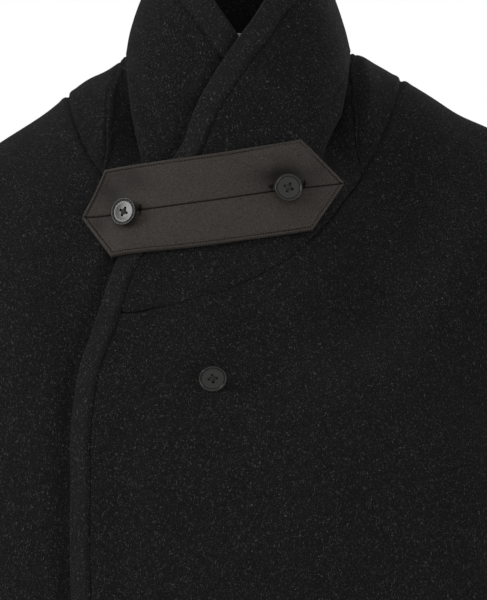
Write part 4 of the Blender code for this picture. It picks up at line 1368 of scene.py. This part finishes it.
def tubes(name, starts, ends, up, kind):
    """Short threads from each start to its end: a half sine that rises along up, with a round
    section that tapers at both ends. All threads are one mesh."""
    rise, radius, sides, cuts, look = THREADS[kind]
    share = np.linspace(0, 1, cuts)[None, :, None]
    line = starts[:, None] * (1 - share) + ends[:, None] * share
    line = line + up[:, None] * rise * np.sin(math.pi * share)
    across = unit(np.cross(unit(ends - starts), up))
    angle = np.linspace(0, 2 * math.pi, sides, endpoint=False)[:, None]
    taper = np.sqrt(1 - THREAD_TAPER * (2 * share - 1) ** 2)[..., None] * radius
    ring = np.cos(angle) * across[:, None, None] + np.sin(angle) * up[:, None, None]
    points = line[:, :, None] + ring * taper
    count = len(starts)
    caps = np.stack([line[:, 0], line[:, -1]], axis=1)
    block = cuts * sides + 2
    flat = np.concatenate([points.reshape(count, -1, 3), caps], axis=1).reshape(-1, 3)
    k = np.arange(sides)
    following = (k + 1) % sides
    end = (cuts - 1) * sides
    first = np.stack([following, k, np.full(sides, cuts * sides)], -1)
    second = np.stack([k + end, following + end, np.full(sides, cuts * sides + 1)], -1)
    faces = []
    for one in (grid_faces(cuts, sides, True), np.concatenate([first, second])):
        faces += (one + np.arange(count)[:, None, None] * block).reshape(-1, one.shape[1]).tolist()
    mesh = bpy.data.meshes.new(name)
    mesh.from_pydata((flat * MM).tolist(), [], faces)
    mesh.polygons.foreach_set("use_smooth", np.ones(len(mesh.polygons), bool))
    made = flip_if_inside_out(put(name, mesh))
    mesh.materials.append(look_of(look))
    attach(made, "root")


def stitch_line():
    """Where each stitch starts and ends: even steps along the tab's outline, STITCH_INSET in from
    its edge, whose corners are where the lines beside its edges cross."""
    order = ("left_top", "right_top", "right_point", "right_low", "left_low", "left_point")
    corner = np.array([TAB_CORNERS[name] for name in order], float)
    count = len(corner)
    edges = np.roll(corner, -1, axis=0) - corner
    across = unit(np.stack([-edges[:, 1], edges[:, 0]], axis=-1))
    across *= np.sign((across * (corner.mean(0) - corner)).sum(-1))[:, None]
    reach = (across * corner).sum(-1) + STITCH_INSET
    inner = [np.linalg.solve(across[[k - 1, k]], reach[[k - 1, k]]) for k in range(count)]
    starts, ends = [], []
    for k in range(count):
        here, after = inner[k], inner[(k + 1) % count]
        length = np.linalg.norm(after - here)
        number = int(round(length / STITCH_PITCH))
        at = np.arange(number)[:, None] / number
        starts.append(here + (after - here) * at)
        ends.append(here + (after - here) * (at + STITCH_SHARE / number))
    return np.concatenate(starts), np.concatenate(ends)


def on_tab(places, out):
    """Points on the tab's outer face at x and z, moved out, and the way out of the cloth there."""
    x, z = places.T
    turn, ring = find(x, z)
    return tab_face(x, z, TAB_WALL + out), form_normal(turn, ring)


def tab_stitches():
    """Lockstitch round the tab, one short thread for each stitch, half sunk in the cloth, and the
    bars at the ends of its buttonholes."""
    starts, ends = stitch_line()
    first, up = on_tab(starts, -STITCH_SINK)
    last, _ = on_tab(ends, -STITCH_SINK)
    tubes("tab_stitches", first, last, up, "stitch")
    bars = np.array(BARS)
    centre = np.concatenate([bars[:, :2] + (shift, 0) for shift in (-BAR_SHIFT, BAR_SHIFT)])
    half = unit(np.array([BAR_LEAN, 1.0])) * np.tile(bars[:, 2:] / 2, (2, 1))
    first, up = on_tab(centre - half, -BAR_SINK)
    last, _ = on_tab(centre + half, -BAR_SINK)
    tubes("buttonhole_bars", first, last, up, "bar")


def neck_label():
    """The blank label inside the collar's back: a thin tape whose four edges are turned under,
    sewn down along its rim, with the body's curve."""
    turn = np.interp(rimmed(*GRID["label_columns"], LABEL_RIMS), (0, 1), LABEL_TURNS)
    ring = np.interp(rimmed(*GRID["label_rows"], LABEL_RIMS), (0, 1), LABEL_RINGS)
    turn, ring = np.meshgrid(turn, ring)
    flat = body(turn, ring)
    away = np.min(rim_distances(flat), axis=0)
    past, wide, deep = LABEL_GROOVE
    swell, rim = LABEL_SWELL
    wall = LABEL_WALL + swell * smooth(0, rim, away) - deep * bell(away - past, wide)
    wall = wall + uneven(flat, LABEL_DRIFT)
    rise = -(COLLAR_WALL / 2 + LABEL_GAP)
    outer = body(turn, ring, rise - wall)
    inner = body(turn, ring, rise)
    for grid in (inner, outer):
        grid[..., 2] -= LABEL_SAG
    made = flip_if_inside_out(shell("neck_label_tape", inner, outer))
    dress(made, "neck_label", "label")


def seat_of(node):
    """Where a button sits: its centre and the way out of its face, which is the way in which its
    points are spread least."""
    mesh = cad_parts[node].data
    points = np.empty(len(mesh.vertices) * 3, np.float32)
    mesh.vertices.foreach_get("co", points)
    points = points.reshape(-1, 3).astype(float) / MM
    centre = (points.min(0) + points.max(0)) / 2
    out = np.linalg.svd(points - points.mean(0), full_matrices=False)[2][2]
    out *= -np.sign(out[1])
    return centre, out


def turned_by(vector, axis, degrees):
    """A vector turned round an axis, by the rotation formula of Rodrigues."""
    axis, angle = unit(axis), math.radians(degrees)
    along = axis * (axis @ vector) * (1 - math.cos(angle))
    return vector * math.cos(angle) + np.cross(axis, vector) * math.sin(angle) + along


def button(node):
    """A turned button: its half section carried round, with four holes bored through, thread
    crossed over them and wound below."""
    centre, out = seat_of(node)
    lean_x, lean_z, roll, move = BUTTON_LEAN[node]
    foot = centre - out * (BUTTON_WALL / 2 + SHANK)
    x_axis, z_axis = np.eye(3)[[0, 2]]
    out = turned_by(turned_by(out, x_axis, lean_x), z_axis, lean_z)
    side = unit(np.cross(z_axis, out))
    up = np.cross(out, side)
    side, up = (turned_by(way, out, roll) for way in (side, up))
    centre = centre + move
    around = np.linspace(0, 2 * math.pi, BUTTON_COLUMNS, endpoint=False)
    ring = np.cos(around)[:, None] * side + np.sin(around)[:, None] * up
    reach, height = np.array(BUTTON_SECTION, float).T[..., None, None]
    points = centre + reach * ring + (height - BUTTON_WALL / 2) * out
    faces = grid_faces(len(BUTTON_SECTION), len(around), True)
    made = write_mesh(f"{node}_horn", points.reshape(-1, 3), faces)
    flip_if_inside_out(merge_poles(made))
    holes = []
    for k in range(4):
        angle = math.pi / 4 + k * math.pi / 2
        holes.append(HOLE_REACH * (math.cos(angle) * side + math.sin(angle) * up))
    bore(made, [centre + hole for hole in holes], out, HOLE_RADIUS)
    made.data.set_sharp_from_angle(angle=math.radians(HORN_SHARP))
    dress(made, node, "button")
    top = centre + out * (THREAD_HEIGHT - BUTTON_WALL / 2)
    starts, ends = [], []
    for k in (0, 1):
        across = np.cross(out, holes[k] / HOLE_REACH)
        for shift in THREAD_PLACES:
            starts.append(top + holes[k] + across * shift)
            ends.append(top + holes[k + 2] + across * shift)
    starts, ends = np.array(starts), np.array(ends)
    up = np.tile(out, (len(starts), 1))
    tubes(f"{node}_thread", starts, ends, up, "cross")
    head = centre + out * (SHANK_TOP - BUTTON_WALL / 2)
    tubes(f"{node}_shank", head[None], foot[None], side[None], "shank")


def merge_poles(made):
    """Joins the points that the section's ends share on the axis."""
    mesh = bmesh.new()
    mesh.from_mesh(made.data)
    bmesh.ops.remove_doubles(mesh, verts=mesh.verts, dist=1e-6)
    mesh.to_mesh(made.data)
    mesh.free()
    return made


def bore(made, places, out, radius):
    """Bores round holes through a piece along out, by Boolean differences that are applied."""
    turn = Vector(out).to_track_quat("Z", "Y").to_matrix().to_4x4()
    for place in places:
        size = {"radius": radius * MM, "depth": DRILL_LENGTH * MM}
        bpy.ops.mesh.primitive_cylinder_add(vertices=DRILL_SIDES, **size)
        drill = bpy.context.object
        drill.matrix_world = Matrix.Translation(Vector(place * MM)) @ turn
        cut = made.modifiers.new("bore", "BOOLEAN")
        cut.operation = "DIFFERENCE"
        cut.solver = "EXACT"
        cut.object = drill
        bpy.context.view_layer.objects.active = made
        bpy.ops.object.modifier_apply(modifier=cut.name)
        bpy.data.objects.remove(drill, do_unlink=True)
    for polygon in made.data.polygons:
        polygon.use_smooth = True


def build_room(world, light):
    """Even light from all round, stronger from the room's bright side; seen, it is plain white."""
    world.use_nodes = True
    tree = world.node_tree
    way = add(tree, "ShaderNodeTexCoord").outputs["Generated"]
    inputs = {0: way, 1: ROOM_BRIGHT_SIDE}
    toward = add(tree, "ShaderNodeVectorMath", inputs, operation="DOT_PRODUCT").outputs["Value"]
    span = {"Value": toward, "To Min": light.low, "To Max": light.high}
    span.update(zip(("From Min", "From Max"), ROOM_SPAN))
    strength = add(tree, "ShaderNodeMapRange", span).outputs["Result"]
    both = tree.nodes.new("ShaderNodeMixShader")
    tree.links.new(add(tree, "ShaderNodeLightPath").outputs["Is Camera Ray"], both.inputs[0])
    for number, power in ((1, strength), (2, 1.0)):
        wall = add(tree, "ShaderNodeBackground", {"Color": (1, 1, 1, 1), "Strength": power})
        tree.links.new(wall.outputs[0], both.inputs[number])
    tree.links.new(both.outputs[0], tree.nodes["World Output"].inputs["Surface"])


def build_stage(scene):
    """A pale floor below the hem, the room's light, the four lamps and the camera."""
    scene.world = bpy.data.worlds.new("studio")
    build_room(scene.world, scene.coat_light)
    mesh = bpy.data.meshes.new("floor")
    corners = ((-1, -1), (1, -1), (1, 1), (-1, 1))
    corners = [(x * FLOOR_HALF, y * FLOOR_HALF, FLOOR_HEIGHT) for x, y in corners]
    mesh.from_pydata(corners, [], [(0, 1, 2, 3)])
    paint, _, shader = nodes_for("floor_paint")
    shader.inputs["Base Color"].default_value = (0.8, 0.8, 0.8, 1)
    shader.inputs["Roughness"].default_value = 0.9
    mesh.materials.append(paint)
    put("floor", mesh)
    for name, (place, size, spread) in LIGHTS.items():
        lamp = bpy.data.lights.new(name, "AREA")
        lamp.shape = "SQUARE"
        lamp.size = size
        lamp.energy = getattr(scene.coat_light, name)
        lamp.spread = math.radians(spread)
        holder = put(name, lamp)
        holder.location = place
        way = Vector(LIGHT_AIM) - Vector(place)
        holder.rotation_euler = way.to_track_quat("-Z", "Y").to_euler()
    lens = bpy.data.cameras.new("camera")
    lens.sensor_width = 36.0
    lens.lens = CAMERA_LENS
    camera = put("camera", lens)
    camera.location = CAMERA_PLACE
    camera.rotation_euler = (math.radians(90), 0, 0)
    scene.camera = camera
    scene.view_settings.view_transform = "Standard"


class CoatSizes(bpy.types.PropertyGroup):
    """Sizes that can be changed without cutting the coat anew"""

    seam_depth: FloatProperty(
        name="Seam depth",
        description="How deep the cloth dips at a seam",
        default=0.0011,
        unit="LENGTH",
    )
    band_rise: FloatProperty(
        name="Band rise",
        description="How much the edge band stands proud",
        default=0.0006,
        unit="LENGTH",
    )


class CoatColours(bpy.types.PropertyGroup):
    """Colours of the wool, the tab, the buttons and the label"""

    melton_dark: FloatVectorProperty(
        name="Melton ground",
        description="The wool's darkest fibres",
        default=(0.0074, 0.0076, 0.00745),
        subtype="COLOR",
    )
    melton_pale: FloatVectorProperty(
        name="Melton flecks",
        description="The wool's palest fibres",
        default=(0.0855, 0.0875, 0.086),
        subtype="COLOR",
    )
    tab_dark: FloatVectorProperty(
        name="Tab shade",
        description="The tab's darker yarn",
        default=(0.017, 0.0143, 0.0122),
        subtype="COLOR",
    )
    tab_pale: FloatVectorProperty(
        name="Tab light",
        description="The tab's paler yarn",
        default=(0.082, 0.0702, 0.0604),
        subtype="COLOR",
    )
    tab_thread: FloatVectorProperty(
        name="Tab thread",
        description="The tab's stitching",
        default=(0.004, 0.0035, 0.003),
        subtype="COLOR",
    )
    button: FloatVectorProperty(
        name="Button",
        description="The buttons' horn",
        default=(0.022, 0.022, 0.0198),
        subtype="COLOR",
    )
    thread: FloatVectorProperty(
        name="Button thread",
        description="The thread in the buttons' holes",
        default=(0.03, 0.03, 0.029),
        subtype="COLOR",
    )
    label: FloatVectorProperty(
        name="Label",
        description="The neck label's tape",
        default=(0.8, 0.79, 0.76),
        subtype="COLOR",
    )


class CoatLight(bpy.types.PropertyGroup):
    """Strengths of the room's light and powers of the lamps"""

    high: FloatProperty(
        name="Bright side",
        description="Strength of the light from the room's bright side",
        default=0.58,
        subtype="FACTOR",
    )
    low: FloatProperty(
        name="Dark side",
        description="Strength of the light from the room's dark side",
        default=0.11,
        subtype="FACTOR",
    )
    key: FloatProperty(
        name="Key",
        description="Power of the lamp on the coat's right",
        default=16.0,
        unit="POWER",
    )
    fill: FloatProperty(
        name="Fill",
        description="Power of the lamp on the coat's left",
        default=8.0,
        unit="POWER",
    )
    top: FloatProperty(
        name="Top",
        description="Power of the lamp above the coat",
        default=11.0,
        unit="POWER",
    )
    back: FloatProperty(
        name="Back",
        description="Power of the lamp behind the coat",
        default=30.0,
        unit="POWER",
    )


class COAT_OT_collar(bpy.types.Operator):
    """Make both halves of the shawl collar"""

    bl_idname = "coat.collar"
    bl_label = "Shawl collar"

    def execute(self, context):
        for side in SIDES:
            collar(side)
        return {"FINISHED"}


class COAT_OT_body(bpy.types.Operator):
    """Make the fronts, the shoulder gussets and the back"""

    bl_idname = "coat.body"
    bl_label = "Fronts, gussets and back"

    def execute(self, context):
        for side in SIDES:
            gusset(side)
            front(side)
        back()
        return {"FINISHED"}


class COAT_OT_sleeves(bpy.types.Operator):
    """Make the set-in sleeves"""

    bl_idname = "coat.sleeves"
    bl_label = "Sleeves"

    def execute(self, context):
        for side in SIDES:
            sleeve(side)
        return {"FINISHED"}


class COAT_OT_bands(bpy.types.Operator):
    """Make the bands that stand proud round the free edge"""

    bl_idname = "coat.bands"
    bl_label = "Edge bands"

    def execute(self, context):
        for side in SIDES:
            edge_band(side)
        return {"FINISHED"}


class COAT_OT_tab(bpy.types.Operator):
    """Make the buttoned tab and its stitching"""

    bl_idname = "coat.tab"
    bl_label = "Tab"

    def execute(self, context):
        tab()
        tab_stitches()
        return {"FINISHED"}


class COAT_OT_buttons(bpy.types.Operator):
    """Make the buttons and the neck label"""

    bl_idname = "coat.buttons"
    bl_label = "Buttons and label"

    def execute(self, context):
        for name in BUTTON_LEAN:
            button(name)
        neck_label()
        return {"FINISHED"}


class COAT_OT_stage(bpy.types.Operator):
    """Make the floor, the lamps and the camera"""

    bl_idname = "coat.stage"
    bl_label = "Stage"

    def execute(self, context):
        build_stage(context.scene)
        return {"FINISHED"}


PIECES = (
    COAT_OT_collar,
    COAT_OT_body,
    COAT_OT_sleeves,
    COAT_OT_bands,
    COAT_OT_tab,
    COAT_OT_buttons,
    COAT_OT_stage,
)


class COAT_PT_panel(bpy.types.Panel):
    """Lists the coat's sizes, colours and pieces"""

    bl_label = "Shawl Collar Coat"
    bl_idname = "COAT_PT_panel"
    bl_space_type = "VIEW_3D"
    bl_region_type = "UI"
    bl_category = "Coat"

    def draw(self, context):
        scene = context.scene
        for group in (scene.coat_sizes, scene.coat_colours, scene.coat_light):
            for key in group.__annotations__:
                self.layout.prop(group, key)
        for piece in PIECES:
            self.layout.operator(piece.bl_idname)


GROUPS = {"coat_sizes": CoatSizes, "coat_colours": CoatColours, "coat_light": CoatLight}


def register():
    for kind in (*GROUPS.values(), *PIECES, COAT_PT_panel):
        bpy.utils.register_class(kind)
    for name, kind in GROUPS.items():
        setattr(bpy.types.Scene, name, PointerProperty(type=kind))


def unregister():
    for name in GROUPS:
        delattr(bpy.types.Scene, name)
    for kind in reversed((*GROUPS.values(), *PIECES, COAT_PT_panel)):
        bpy.utils.unregister_class(kind)


def main():
    """Makes every piece and the stage."""
    register()
    for piece in PIECES:
        area, name = piece.bl_idname.split(".")
        getattr(getattr(bpy.ops, area), name)()


if __name__ == "__main__":
    main()
